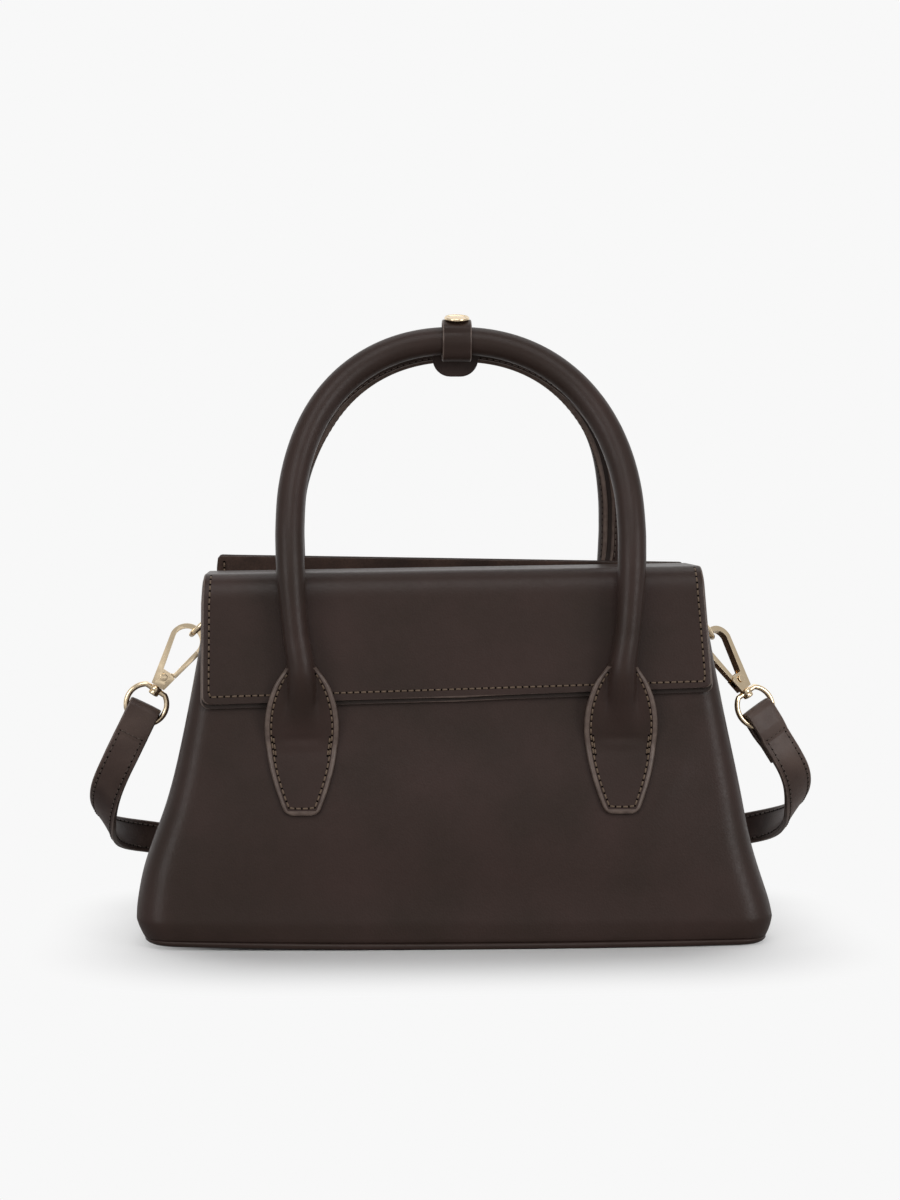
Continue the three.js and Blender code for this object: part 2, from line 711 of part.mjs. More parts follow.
function makeHandle(name, side) {
  const curve = handleLine(side);
  const lean = headLean(side);
  const section = coverSection();
  let cover = solid(loft(carried(handleStations(curve, 0, 1, 52), section), section));
  for (const [hand, x] of [['left', -TAB_PLACE], ['right', TAB_PLACE]]) {
    const frame = tabFrame(side, x, lean);
    const behind = box(vector(-30, -10, -30), vector(30, TAB_HEAD + 2, 0)).applyMatrix4(frame);
    cover = cover.subtract(solid(behind)).add(solid(tabSolid(tabHeadShape(), frame)));
    const flatFrame = tabFrame(side, x, -PANEL_LEAN);
    piece(`${name}_${hand}_tab`, tabSolid(tabFootShape(), flatFrame), LEATHER);
  }
  piece(`${name}_handle_cover`, geometryOf(cover), LEATHER);
  const core = roundSection(HANDLE_RADIUS - COVER_LEATHER - CORE_EASE, 10);
  const start = shareAtHeight(curve, CORE_START);
  const stations = handleStations(curve, start, 1 - start, 46);
  piece(`${name}_handle_core`, loft(carried(stations, core), core), CORE_CORD);
}

// A band round a handle at the top of the arch, as a tube along X.
function keeperBand(y, z) {
  const bore = HANDLE_RADIUS + KEEPER_EASE;
  const ring = new THREE.Shape().absarc(0, 0, bore + KEEPER_LEATHER, 0, 2 * Math.PI);
  ring.holes.push(new THREE.Path().absarc(0, 0, bore, 0, 2 * Math.PI));
  const options = { depth: KEEPER_WIDTH, bevelEnabled: false, curveSegments: 12 };
  const band = new THREE.ExtrudeGeometry(ring, options).translate(0, 0, -KEEPER_WIDTH / 2);
  return band.rotateY(Math.PI / 2).translate(0, y, z);
}

function makeKeeper() {
  const outer = HANDLE_RADIUS + KEEPER_EASE + KEEPER_LEATHER;
  const padTop = outer + KEEPER_PAD_RISE;
  const tilt = new THREE.Matrix4().makeRotationX(KEEPER_TILT * DEGREE).setPosition(0, -ARCH_SPREAD, ARCH_TOP);
  const padFoot = vector(-KEEPER_WIDTH / 2, -KEEPER_PAD_HALF, outer - KEEPER_LEATHER / 2);
  const pad = box(padFoot, vector(KEEPER_WIDTH / 2, KEEPER_PAD_HALF, padTop)).applyMatrix4(tilt);
  const front = solid(keeperBand(-ARCH_SPREAD, ARCH_TOP)).add(solid(pad));
  piece('keeper_front_loop', geometryOf(front), LEATHER);
  const rim = SNAP_RADIUS - 0.8;
  const cap = turned([[0, 0], [SNAP_RADIUS, 0], [SNAP_RADIUS, 0.8], [rim, SNAP_HEIGHT], [0, SNAP_HEIGHT]], 20);
  cap.rotateX(Math.PI / 2).translate(0, 0, padTop + SEAM).applyMatrix4(tilt);
  piece('keeper_snap_cap', cap, GOLD);
  const backZ = ARCH_TOP - BACK_ARCH_DROP;
  const foot = ARCH_TOP - KEEPER_TAB_DROP;
  const half = KEEPER_TAB_WIDTH / 2;
  const round = half - KEEPER_TAB_ROUND;
  const head = backZ - outer * 0.4;
  const shape = new THREE.Shape();
  shape.moveTo(half, head);
  shape.lineTo(-half, head);
  shape.absarc(-round, foot + KEEPER_TAB_ROUND, KEEPER_TAB_ROUND, Math.PI, Math.PI * 1.5);
  shape.absarc(round, foot + KEEPER_TAB_ROUND, KEEPER_TAB_ROUND, Math.PI * 1.5, Math.PI * 2);
  const tab = plate(shape, KEEPER_TAB_LEATHER).translate(0, ARCH_SPREAD - outer + KEEPER_TAB_LEATHER / 2 + 0.1, 0);
  const back = solid(keeperBand(ARCH_SPREAD, backZ)).add(solid(tab));
  piece('keeper_back_loop', geometryOf(back), LEATHER);
}

const RING_OUT = gussetFace(RING_HEIGHT) + CHAPE_STAND + CHAPE_LEATHER + SEAM + WIRE_RADIUS;
const HOOK_ARC = HOOK_LENGTH - HOOK_HALF;
const HOOK_SEAT = HOOK_LENGTH - HOOK_BAR - HOOK_PLAY - WIRE_RADIUS;

// The leather chape lies down the gusset and loops round the straight bar of the side ring.
function makeChape(name, hang) {
  const bore = WIRE_RADIUS + SEAM;
  const loop = new THREE.Shape().absarc(hang.sign * RING_OUT, RING_HEIGHT, bore + CHAPE_LEATHER, 0, 2 * Math.PI);
  loop.holes.push(new THREE.Path().absarc(hang.sign * RING_OUT, RING_HEIGHT, bore, 0, 2 * Math.PI));
  const foot = RING_HEIGHT - CHAPE_LENGTH;
  const head = RING_HEIGHT - bore * 0.7;
  const flange = polygon([[foot, 0], [foot, CHAPE_LEATHER], [head, CHAPE_LEATHER], [head, 0]]
    .map(([z, thick]) => [hang.sign * (gussetFace(z) + CHAPE_STAND + thick), z]));
  const chape = solid(plate(loop, CHAPE_WIDTH)).add(solid(plate(flange, CHAPE_WIDTH)));
  piece(`${name}_ring_chape`, geometryOf(chape), LEATHER);
}

// D-shaped side ring: its bar runs along Y through the origin, its bow hangs down.
function makeSideRing(name, hang) {
  const legFoot = RING_HALF - RING_REACH;
  const bow = steps(0, Math.PI, 10).map((turn) => [RING_HALF * Math.cos(turn), legFoot - RING_HALF * Math.sin(turn)]);
  const bend = 2;
  const bar = [
    [-RING_HALF, -bend],
    [-RING_HALF + bend * 0.3, -bend * 0.3],
    [-RING_HALF + bend, 0],
    [RING_HALF - bend, 0],
    [RING_HALF - bend * 0.3, -bend * 0.3],
    [RING_HALF, -bend],
  ];
  const line = [...bow, ...bar].map(([y, z]) => vector(0, y, z));
  const ring = piece(`${name}_side_ring`, hoop(line, WIRE_RADIUS, vector(1, 0, 0), 8), GOLD);
  ring.position.set(hang.sign * RING_OUT, 0, RING_HEIGHT);
  ring.rotation.y = -hang.sign * hang.ring * DEGREE;
}

// Group whose origin is the side ring's bow and whose -Z runs down the hook's axis.
function hookGroup(hang) {
  const group = new THREE.Group();
  const tilt = hang.ring * DEGREE;
  group.position.set(
    hang.sign * (RING_OUT + RING_REACH * Math.sin(tilt)),
    0,
    RING_HEIGHT - RING_REACH * Math.cos(tilt),
  );
  group.rotation.y = -hang.sign * hang.hook * DEGREE;
  bag.add(group);
  return group;
}

function turnedGroup(parent, degrees) {
  const group = new THREE.Group();
  group.rotation.z = degrees * DEGREE;
  parent.add(group);
  return group;
}

// Height on the hook's outer side that is as far from the gate's pin as a height on its inner side,
// so that the gate's tip turns clear of the nose.
function outerTip(innerHeight) {
  const inner = HOOK_HALF - HOOK_BAR - NOSE_STEP;
  const outer = HOOK_HALF - NOSE_STEP;
  const rise = innerHeight - PIN_HEIGHT;
  return PIN_HEIGHT + Math.sqrt(rise * rise + inner * inner - outer * outer);
}

// Outline of the hook's frame: block, arm, bow and nose, with the gate's side left open.
function hookShape() {
  const inner = HOOK_HALF - HOOK_BAR;
  const shape = new THREE.Shape();
  shape.moveTo(-BLOCK_HALF, 0);
  shape.lineTo(BLOCK_HALF, 0);
  shape.lineTo(BLOCK_HALF + 1.5, BLOCK_HEIGHT - 1.2);
  shape.lineTo(BLOCK_HALF - 0.6, BLOCK_HEIGHT);
  shape.lineTo(-BLOCK_HALF + 1.2, BLOCK_HEIGHT);
  shape.lineTo(-inner, HOOK_ARC);
  shape.absarc(0, HOOK_ARC, inner, Math.PI, 0, true);
  shape.lineTo(inner - NOSE_STEP, NOSE_HEIGHT);
  shape.lineTo(HOOK_HALF - NOSE_STEP, outerTip(NOSE_HEIGHT));
  shape.absarc(0, HOOK_ARC, HOOK_HALF, 0, Math.PI, false);
  shape.lineTo(-BLOCK_HALF, 0);
  return shape;
}

function makeHookFrame(name, group) {
  const slotFoot = PIN_HEIGHT - TONGUE_RADIUS - SEAM;
  const slotLeft = -BLOCK_HALF + 0.3;
  const chamber = POST_HEAD_RADIUS + SEAM;
  const neck = POST_RADIUS + SEAM;
  const slot = box(vector(slotLeft, -GATE_SLOT / 2, slotFoot), vector(HOOK_HALF, GATE_SLOT / 2, BLOCK_HEIGHT + 1));
  const pinHole = turned([[0, -9], [PIN_RADIUS + SEAM, -9], [PIN_RADIUS + SEAM, 9], [0, 9]], 12);
  pinHole.translate(0, 0, PIN_HEIGHT);
  const bore = turned([[0, -1], [neck, -1], [neck, 1], [chamber, 1], [chamber, 2.6], [0, 2.6]], 12);
  bore.rotateX(Math.PI / 2);
  const frame = solid(plate(hookShape(), HOOK_THICK, 9)).subtract(solid(slot)).subtract(solid(pinHole));
  const hook = geometryOf(frame.subtract(solid(bore)));
  piece(`${name}_hook_frame`, hook.translate(0, 0, -HOOK_SEAT), GOLD, group);
}

// The gate: a bar that closes the hook's open side, and a thin tongue round the pin.
function makeGate(name, group) {
  const inner = HOOK_HALF - HOOK_BAR;
  const tip = NOSE_HEIGHT - SEAM;
  const bar = polygon([
    [BLOCK_HALF - 0.4, BLOCK_HEIGHT + SEAM],
    [BLOCK_HALF + 1.6, BLOCK_HEIGHT - 0.7],
    [HOOK_HALF - NOSE_STEP, outerTip(tip)],
    [inner - NOSE_STEP, tip],
  ]);
  const tongue = new THREE.Shape();
  tongue.absarc(0, PIN_HEIGHT, TONGUE_RADIUS, 120 * DEGREE, 300 * DEGREE, false);
  tongue.lineTo(BLOCK_HALF + 1.4, BLOCK_HEIGHT);
  tongue.lineTo(BLOCK_HALF - 0.1, BLOCK_HEIGHT + 1);
  tongue.holes.push(new THREE.Path().absarc(0, PIN_HEIGHT, PIN_RADIUS + SEAM, 0, 2 * Math.PI));
  const gate = solid(plate(bar, GATE_THICK)).add(solid(plate(tongue, GATE_SLOT - 2 * SEAM)));
  piece(`${name}_hook_gate`, geometryOf(gate).translate(0, 0, -HOOK_SEAT), GOLD, group);
}

function makeGatePin(name, group) {
  const face = HOOK_THICK / 2 + SEAM;
  const half = [[PIN_RADIUS, face], [PIN_HEAD_RADIUS, face], [PIN_HEAD_RADIUS, face + PIN_HEAD], [0, face + PIN_HEAD]];
  const mirrored = half.map(([r, h]) => [r, -h]).reverse();
  const pin = turned([...mirrored, ...half], 12).translate(0, 0, PIN_HEIGHT - HOOK_SEAT);
  piece(`${name}_gate_pin`, pin, GOLD, group);
}

function makeGateSpring(name, group) {
  const low = vector(-BLOCK_HALF + 0.6, SEAM - GATE_SLOT / 2, PIN_HEIGHT - TONGUE_RADIUS);
  const high = vector(-BLOCK_HALF + 0.6 + SPRING_LEAF, GATE_SLOT / 2 - SEAM, BLOCK_HEIGHT - 0.8);
  piece(`${name}_gate_spring`, box(low, high).translate(0, 0, -HOOK_SEAT), MAGNET_STEEL, group);
}

// The swivel eye: a post in the block, its collar, and a ring with a flat side at the collar.
function makeSwivelEye(name, group) {
  const middle = -(COLLAR_LENGTH / 2 + EYE_CHORD - 0.2);
  const end = Math.asin(EYE_CHORD / EYE_RADIUS);
  const arc = steps(end, -Math.PI - end, 16).map((turn) => [
    EYE_RADIUS * Math.cos(turn),
    middle + EYE_RADIUS * Math.sin(turn),
  ]);
  const chord = middle + EYE_CHORD;
  const flat = [-0.5, 0, 0.5].map((share) => [share * EYE_RADIUS * Math.cos(end), chord]);
  const line = [...arc, ...flat].map(([x, z]) => vector(x, 0, z));
  const ring = solid(hoop(line, WIRE_RADIUS, vector(0, 1, 0), 8));
  const post = turned([
    [0, -SEAM - COLLAR_LENGTH],
    [COLLAR_RADIUS, -SEAM - COLLAR_LENGTH],
    [COLLAR_RADIUS, -SEAM],
    [POST_RADIUS, -SEAM],
    [POST_RADIUS, 1 + SEAM],
    [POST_HEAD_RADIUS, 1 + SEAM],
    [POST_HEAD_RADIUS, 2.6 - SEAM],
    [0, 2.6 - SEAM],
  ], 12).rotateX(Math.PI / 2);
  const eye = geometryOf(ring.add(solid(post)));
  piece(`${name}_swivel_eye`, eye.translate(0, 0, -HOOK_SEAT), GOLD, group);
  return middle - HOOK_SEAT;
}

// The strap's end folds over the eye and is sewn to itself; its top fold lies at the eye's middle.
function makeStrapEnd(name, group, foldTop) {
  const bore = WIRE_RADIUS + 0.4;
  const outer = bore + STRAP_LEATHER * 0.8;
  const slotEnd = EYE_RADIUS + WIRE_RADIUS + SEAM;
  const closed = slotEnd + 5;
  const sewn = STRAP_LEATHER + 0.05;
  const shape = new THREE.Shape();
  shape.moveTo(-sewn, -STRAP_FOLD_LENGTH);
  shape.lineTo(sewn, -STRAP_FOLD_LENGTH);
  shape.lineTo(sewn, -closed);
  shape.lineTo(outer, -slotEnd);
  shape.absarc(0, -outer, outer, 0, Math.PI, false);
  shape.lineTo(-outer, -slotEnd);
  shape.lineTo(-sewn, -closed);
  const slot = new THREE.Path();
  slot.moveTo(0, -slotEnd - 3);
  slot.lineTo(bore, -slotEnd);
  slot.absarc(0, -outer, bore, 0, Math.PI, false);
  slot.lineTo(-bore, -slotEnd);
  shape.holes.push(slot);
  const options = { depth: STRAP_WIDTH, bevelEnabled: false, curveSegments: 6 };
  const fold = new THREE.ExtrudeGeometry(shape, options).translate(0, 0, -STRAP_WIDTH / 2);
  const across = new THREE.Matrix4().makeBasis(vector(0, 1, 0), vector(0, 0, 1), vector(1, 0, 0));
  fold.applyMatrix4(across).translate(0, 0, foldTop);
  piece(`${name}_strap_end`, fold, LEATHER, group);
}

// Makes one side's hardware and returns where its strap starts, as points and upper edge directions.
function makeSide(name, hang) {
  makeChape(name, hang);
  makeSideRing(name, hang);
  const clip = hookGroup(hang);
  const facing = hang.sign < 0 ? 0 : 180;
  const hook = turnedGroup(clip, facing + hang.hookRoll);
  makeHookFrame(name, hook);
  makeGate(name, hook);
  makeGatePin(name, hook);
  makeGateSpring(name, hook);
  const eye = turnedGroup(clip, hang.eyeRoll);
  const foldTop = makeSwivelEye(name, eye);
  makeStrapEnd(name, eye, foldTop);
  bag.updateMatrixWorld(true);
  const start = foldTop - STRAP_FOLD_LENGTH - SEAM;
  const layer = -STRAP_LEATHER / 2 - 0.05;
  const edge = vector(hang.sign, 0, 0).transformDirection(eye.matrixWorld);
  return [0, 6].map((along) => ({
    at: vector(0, layer, start - along).applyMatrix4(eye.matrixWorld),
    edge,
  }));
}

function routePoints(route) {
  return route.map(([x, y, z, lean]) => ({
    at: vector(x, y, z),
    edge: vector(-Math.sin(lean * DEGREE), 0, Math.cos(lean * DEGREE)),
  }));
}

// Stations of a flat strap along a share of its route, with its upper edge direction.
function strapStations(points, low, high, count) {
  const line = new THREE.CatmullRomCurve3(points.map((p) => p.at), false, 'centripetal');
  const edges = new THREE.CatmullRomCurve3(points.map((p) => p.edge));
  return steps(low, high, count).map((t) => {
    const ahead = line.getTangent(t);
    const first = edges.getPoint(t);
    first.addScaledVector(ahead, -first.dot(ahead)).normalize();
    return { at: line.getPoint(t), first, second: vector(0, 0, 0).crossVectors(ahead, first) };
  });
}

function strapSection() {
  const half = STRAP_WIDTH / 2;
  const thick = STRAP_LEATHER / 2;
  const round = STRAP_LEATHER * 0.3;
  const right = [[half - round, -thick], [half, round - thick], [half, thick - round], [half - round, thick]];
  const left = right.map(([x, y]) => [-x, -y]);
  return [...left, ...right].map(([x, y]) => new THREE.Vector2(x, y));
}

// Least clear distance between stretches of the strap that lie more than a fold apart along it.
function leastGap(stations) {
  const apart = 40;
  let length = 0;
  const places = stations.map(({ at }, i) => {
    if (i > 0) length += at.distanceTo(stations[i - 1].at);
    return { at, length };
  });
  let least = Infinity;
  for (const a of places) {
    for (const b of places) {
      if (b.length - a.length > apart) least = Math.min(least, a.at.distanceTo(b.at) - STRAP_LEATHER);
    }
  }
  return least;
}

function makeStrap(leftStart, rightStart) {
  const left = [...leftStart, ...routePoints(LEFT_ROUTE)];
  const hank = routePoints(HANK_ROUTE);
  const right = [...routePoints(RIGHT_ROUTE), ...rightStart.reverse()];
  const all = [...left, ...hank.slice(1, -1), ...right];
  const spans = all.length - 1;
  const leftEnd = (left.length - 1) / spans;
  const rightEnd = (spans - right.length + 1) / spans;
  const trim = 0.0002;
  const section = strapSection();
  const stretch = (name, low, high, count) => {
    const stations = strapStations(all, low, high, count);
    piece(name, loft(carried(stations, section), section), LEATHER);
    return stations;
  };
  const stations = [
    ...stretch('strap_left', 0, leftEnd - trim, 22),
    ...stretch('strap_hank', leftEnd + trim, rightEnd - trim, 44),
    ...stretch('strap_right', rightEnd + trim, 1, 20),
  ];
  console.log(`Least gap between runs of the folded strap: ${leastGap(stations).toFixed(2)} mm`);
}

makeWalls();
makeBase();
makeLining();
makeHingeStrip();
makeFlap();
makeHandle('front', -1);
makeHandle('back', 1);
makeKeeper();
makeStrap(makeSide('left', LEFT_HANG), makeSide('right', RIGHT_HANG));

export default bag;
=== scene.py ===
"""Leather top-handle bag: leather, suede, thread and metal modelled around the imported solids."""
import math

import bmesh
import bpy
import numpy as np
from bpy.props import FloatProperty, FloatVectorProperty, PointerProperty
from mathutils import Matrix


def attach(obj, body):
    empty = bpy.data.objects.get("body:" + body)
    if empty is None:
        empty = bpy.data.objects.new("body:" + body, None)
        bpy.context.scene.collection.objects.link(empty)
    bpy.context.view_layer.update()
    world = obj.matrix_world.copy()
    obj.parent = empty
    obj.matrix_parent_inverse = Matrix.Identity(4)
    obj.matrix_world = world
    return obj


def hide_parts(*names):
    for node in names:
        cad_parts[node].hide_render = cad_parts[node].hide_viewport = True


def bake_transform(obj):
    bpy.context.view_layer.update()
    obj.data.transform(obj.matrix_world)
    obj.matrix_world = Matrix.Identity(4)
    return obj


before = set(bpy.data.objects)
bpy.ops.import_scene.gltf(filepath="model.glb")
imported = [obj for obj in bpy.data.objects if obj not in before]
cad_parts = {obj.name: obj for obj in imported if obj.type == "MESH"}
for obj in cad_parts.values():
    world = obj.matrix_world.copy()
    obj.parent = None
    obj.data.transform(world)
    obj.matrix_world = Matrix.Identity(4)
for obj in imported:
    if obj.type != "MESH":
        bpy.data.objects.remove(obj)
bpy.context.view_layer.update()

bl_info = {
    "name": "Top-handle bag",
    "version": (1, 0, 0),
    "blender": (4, 5, 0),
    "location": "View3D > Sidebar > Bag",
    "description": "Makes a leather top-handle bag with a flap and a strap on swivel hooks",
    "category": "Add Mesh",
}

MM = 0.001
DEGREE = math.pi / 180

# Sizes in millimetres, and angles; most are the solids' own, so that each piece lies where its solid is
SEAM = 0.3
FOOT_ROLL = 12.0
SIDE_ROLL, SIDE_ROLL_HEIGHT, FRONT_ROLL, FRONT_ROLL_SHARE = 8.0, 23.0, 2.5, 0.2
FOOT_LIFT, FOOT_LIFT_HEIGHT, FOOT_LIFT_RIGHT, FOOT_HALF = 2.0, 24.0, 0.15, 145.0
FOOT_BELLY, FOOT_BELLY_HEIGHT = 2.2, 30.0
BASE_CORNER, TOP_CORNER = 16.0, 8.0
SIDE_DIP = 2.6
PANEL_TURN, GUSSET_TURN = 79 * DEGREE, 9 * DEGREE
GUSSET_PLEAT, GUSSET_DROP = 6.0, 6.0
PANEL_LEATHER, LINING_LEATHER = 2.0, 1.0
BASE_SHEET, BASE_BOARD = 3.0, 2.5
LINING_DROP, FACING_LAP = 10.0, 7.0
LIP_RISE, LIP_ROUND, LIP_UNROLL = 11.5, 2.6, 0.74
LINING_INSET = PANEL_LEATHER + SEAM
FLAP_CROWN_HALF, FLAP_ROLL_HALF, FLAP_EDGE_HALF, FLAP_HINGE_HALF = 113.9, 114.7, 116.3, 100.0
FLAP_CROWN_SHIFT, FLAP_EDGE_SHIFT = -2.5, -1.1
FLAP_SIDE_MARGIN, FLAP_LOW_MARGIN = 0.7, 1.9
FLAP_TILT, FLAP_SINK = 1.75, -0.25
FLAP_RISE, FLAP_ROLL, FLAP_CLEAR = 7.5, 7.0, 1.2
FLAP_LEATHER, FLAP_LINING = 1.7, 1.2
FLAP_STACK = FLAP_LEATHER + FLAP_LINING + SEAM
FLAP_DROP_LEFT, FLAP_DROP_RIGHT = 53.2, 46.4
FLAP_CORNER, FLAP_FALL, FLAP_BEND = 4.0, 48.0, 0.3
HINGE_SETBACK, HINGE_DROP, HINGE_STRIP, HINGE_STRIP_DROP = 8.5, 1.0, 1.2, 21.0
MAGNET_DROP, MAGNET_BUMP, MAGNET_SPREAD = 36.0, 0.4, 9.0
ARCH_HALF, ARCH_POWER, ARCH_SPREAD = 78.7, 2.2, 8.9
ARCH_FOOT_RISE, ARCH_RISE, BACK_ARCH_DROP = 26.0, 88.5, 2.4
LEFT_LEG_SHIFT, BACK_ARCH_SHIFT = 0.7, 1.9
FRONT_LEG_OUT, BACK_LEG_OUT = 43.8, 40.4
TAB_PLACE, TAB_CREASE_DROP = 73.3, 72.0
TAB_CREASE_WIDTH, TAB_FOOT_WIDTH, TAB_CORNER = 32.3, 14.7, 3.0
TAB_DROP, TAB_HEAD, TAB_LEATHER, TAB_FLAP_CLEAR, NECK_HEIGHT = 31.5, 38.0, 2.4, 0.8, 9.3
KEEPER_WIDTH, KEEPER_LEATHER, KEEPER_EASE = 13.6, 1.5, 0.35
KEEPER_PAD_RISE, KEEPER_TILT, KEEPER_SLACK = 1.5, 15 * DEGREE, 1.5
SNAP_HEIGHT = 1.6
KEEPER_TAB_WIDTH, KEEPER_TAB_DROP, KEEPER_TAB_LEATHER, KEEPER_TAB_ROUND = 21.6, 16.4, 2.0, 8.4
WIRE_RADIUS, RING_DROP, RING_REACH, RING_HALF = 1.3, 12.5, 16.0, 7.6
CHAPE_LEATHER, CHAPE_WIDTH, CHAPE_LENGTH, CHAPE_STAND = 1.5, 11.5, 24.0, 0.5
HOOK_SEAT = 29.2
COLLAR_RADIUS, COLLAR_LENGTH, EYE_RADIUS, EYE_CHORD = 2.7, 4.4, 9.5, 8.0
STRAP_LEATHER, STRAP_FOLD, STRAP_START = 2.4, 27.0, 15.0
FOLD_LAYER = STRAP_LEATHER / 2 + 0.05
HANGS = {
    "left": {"sign": -1, "ring": 47 * DEGREE, "hook": 33 * DEGREE, "eye": 0.0, "fold": 7 * DEGREE},
    "right": {"sign": 1, "ring": 36 * DEGREE, "hook": 32 * DEGREE, "eye": 22 * DEGREE, "fold": 0.0},
}

# Route of the strap behind the bag: x, y, z and the lean of its upper edge in degrees
LEFT_ROUTE = [
    (-166, 5.5, 66, 50), (-167.8, 14, 57, 42), (-167.8, 25, 49, 34), (-165.5, 37, 43.5, 24),
    (-158.5, 50, 39.5, 14), (-147, 61, 36.5, 6), (-130, 66.5, 32.5, 0), (-105, 68.5, 23.5, 0),
]
HANK_ROUTE = [
    (-80, 68, 14.5, 0), (-55, 67.5, 9.6, 0), (-25, 67, 8, 0), (20, 67, 8, 0), (65, 67, 8, 0),
    (88, 69.5, 8, 0), (96.5, 77, 8, 0), (88, 84.5, 8, 0), (65, 87, 8, 0), (20, 87, 8, 0),
    (-20, 87, 8, 0), (-65, 87, 8, 0), (-88, 89.5, 8, 0), (-96.5, 97, 8, 0), (-88, 104.5, 8, 0),
    (-65, 107, 8, 0), (-20, 107, 8, 0), (25, 107, 8, 0), (60, 106, 9, 0), (84, 101, 13, 0),
]
RIGHT_ROUTE = [
    (106, 91.5, 21.5, 0), (127, 79, 31, 0), (146, 66, 37.5, -6), (159, 53, 42, -14),
    (164.5, 40, 46.5, -24), (166.5, 27, 51.5, -34), (166.4, 15, 59, -42), (165, 5, 69.5, -46),
]

# Points in metres given for each half of the strap, where a bend from the bag to its clip would start and
# end; nothing bends the strap by them
STRAP_BENDS = {
    "left": ((-0.155, 0.056, 0.040), (-0.1665, 0.003, 0.072)),
    "right": ((0.152, 0.058, 0.043), (0.1610, 0.004, 0.073)),
}

# How the soft leather hangs: belly, pull line beside the right tab, sunken left side and drawn-in right side
BELLY_FOOT, BELLY_HEIGHT = 4.0, 106.0
PULL_OUT, PULL_PLACE, PULL_FOOT, PULL_SLOPE, PULL_WIDTH = 1.7, 91.0, 66.0, 0.63, 9.0
PULL_HEIGHT, PULL_REACH = 84.0, 26.0
SLUMP_OUT, SLUMP_BULGE, SLUMP_HEIGHT, SLUMP_REACH = 2.3, 3.7, 36.0, 24.0
DRAWN_IN, DRAWN_HEIGHT, DRAWN_REACH = 1.5, 45.0, 22.0
SLUMP_START, SLUMP_GROWS, SLUMP_END, SLUMP_FADE = 40.0, 80.0, 185.0, 30.0

# Stitches: the share of the pitch that a stitch covers, and the widths of the finer seams
STITCH_SHARE, STRAP_STITCH, SLIT_STITCH = 0.84, 0.7, 0.45
STRAP_STITCH_INSET, TAB_STITCH_INSET, FLAP_STITCH_INSET, FLAP_STITCH_RISE = 2.2, 3.0, 2.5, 3.4

# Columns of a handle's section: the inner edge with the slit, the front, the outer edge and the back
EDGE_IN, FRONT, EDGE_OUT, BACK = 12, 30, 6, 14

# Steps round a sheet's half-round edge and round a bar's corners
EDGE_STEPS, CORNER_STEPS = 3, 3

# Sockets of the Mix node that hold its two colours and its result
MIX_A, MIX_B, MIX_OUT = 6, 7, 2

# Suns of the studio: name, direction they shine from, strength and breadth in degrees
LAMPS = (
    ("key", (-0.1, -0.9, 1.0), 0.72, 34), ("left", (-0.8, -0.85, 0.34), 0.64, 28),
    ("right", (0.8, -0.85, 0.34), 0.82, 28), ("top", (0.12, 0.5, 1.0), 0.8, 52),
)


def linear(colour):
    """A hex sRGB colour as linear red, green and blue."""
    channels = np.array([int(colour[i:i + 2], 16) for i in (1, 3, 5)]) / 255
    return tuple(np.where(channels <= 0.04045, channels / 12.92, ((channels + 0.055) / 1.055) ** 2.4))


def length_property(name, description, millimetres):
    """A length that a user can set, with its default in millimetres."""
    return FloatProperty(name=name, description=description, default=millimetres * MM, unit="LENGTH")


def colour_property(name, description, colour):
    """A colour that a user can set, with its default as sRGB hex."""
    return FloatVectorProperty(name=name, description=description, default=linear(colour), subtype="COLOR",
                               size=3, min=0, max=1)


class BagSizes(bpy.types.PropertyGroup):
    """Sizes of the bag that a user would change."""

    base_width: length_property("Base width", "Width of the body above its rolled foot", 291)
    top_width: length_property("Top width", "Width of the body at its mouth", 226)
    base_depth: length_property("Base depth", "Depth of the body above its rolled foot", 115)
    top_depth: length_property("Top depth", "Depth of the body at its mouth", 72)
    body_height: length_property("Body height", "Height of the front panel", 164)
    lip_left: length_property("Lip at the left", "Height of the back lip at its left end", 176.4)
    lip_right: length_property("Lip at the right", "Height of the back lip at its right end", 172.8)
    belly: length_property("Belly", "How far the soft front and back stand out", 2.2)
    handle_radius: length_property("Handle radius", "Radius of the rolled handles", 6.5)
    strap_width: length_property("Strap width", "Width of the shoulder strap", 15.5)
    stitch_pitch: length_property("Stitch pitch", "Distance from stitch to stitch", 3.1)
    stitch_width: length_property("Stitch width", "Width of one stitch", 0.8)


class BagColours(bpy.types.PropertyGroup):
    """Colours of the bag and its stage."""

    leather: colour_property("Leather", "Smooth dark brown leather", "#342823")
    leather_light: colour_property("Leather, light", "Where the leather is pulled or rubbed", "#3d2e2a")
    # Edge paint: partly the paint's own lighter colour, partly a painted highlight where edges and lips catch
    # light
    edge_paint: colour_property("Edge paint", "Painted edges of the leather", "#7d6c62")
    # A dark colour painted as shade into the handles' slit grooves and between the flap's layers; it also
    # darkens fibres in the thread and suede
    groove_shade_and_dark_fibre: colour_property("Raw leather", "Unpainted inside of the handle's slit", "#231b17")
    thread: colour_property("Thread", "Tan thread of the flap and tabs", "#7a6551")
    # The strap's colour is the bag's leather painted lighter, as painted light on the strap
    strap: colour_property("Strap leather", "The strap's slightly lighter leather", "#66564f")
    strap_thread: colour_property("Strap thread", "Dark thread of the strap and handles", "#584a41")
    hole: colour_property("Stitch hole", "Shadow of a needle hole", "#0c0807")
    suede: colour_property("Suede", "Brown suede of the lip and lining", "#4a3830")
    gold: colour_property("Gold", "Pale gold plating", "#f2dcba")
    steel: colour_property("Steel", "Plain steel of the springs and magnets", "#b5b2ac")
    board: colour_property("Board", "Fibre board in the base", "#6b6258")
    floor: colour_property("Floor", "Pale studio floor", "#f8f8f8")


def size(name):
    """One of the bag's sizes in millimetres."""
    return getattr(bpy.context.scene.bag_sizes, name) / MM


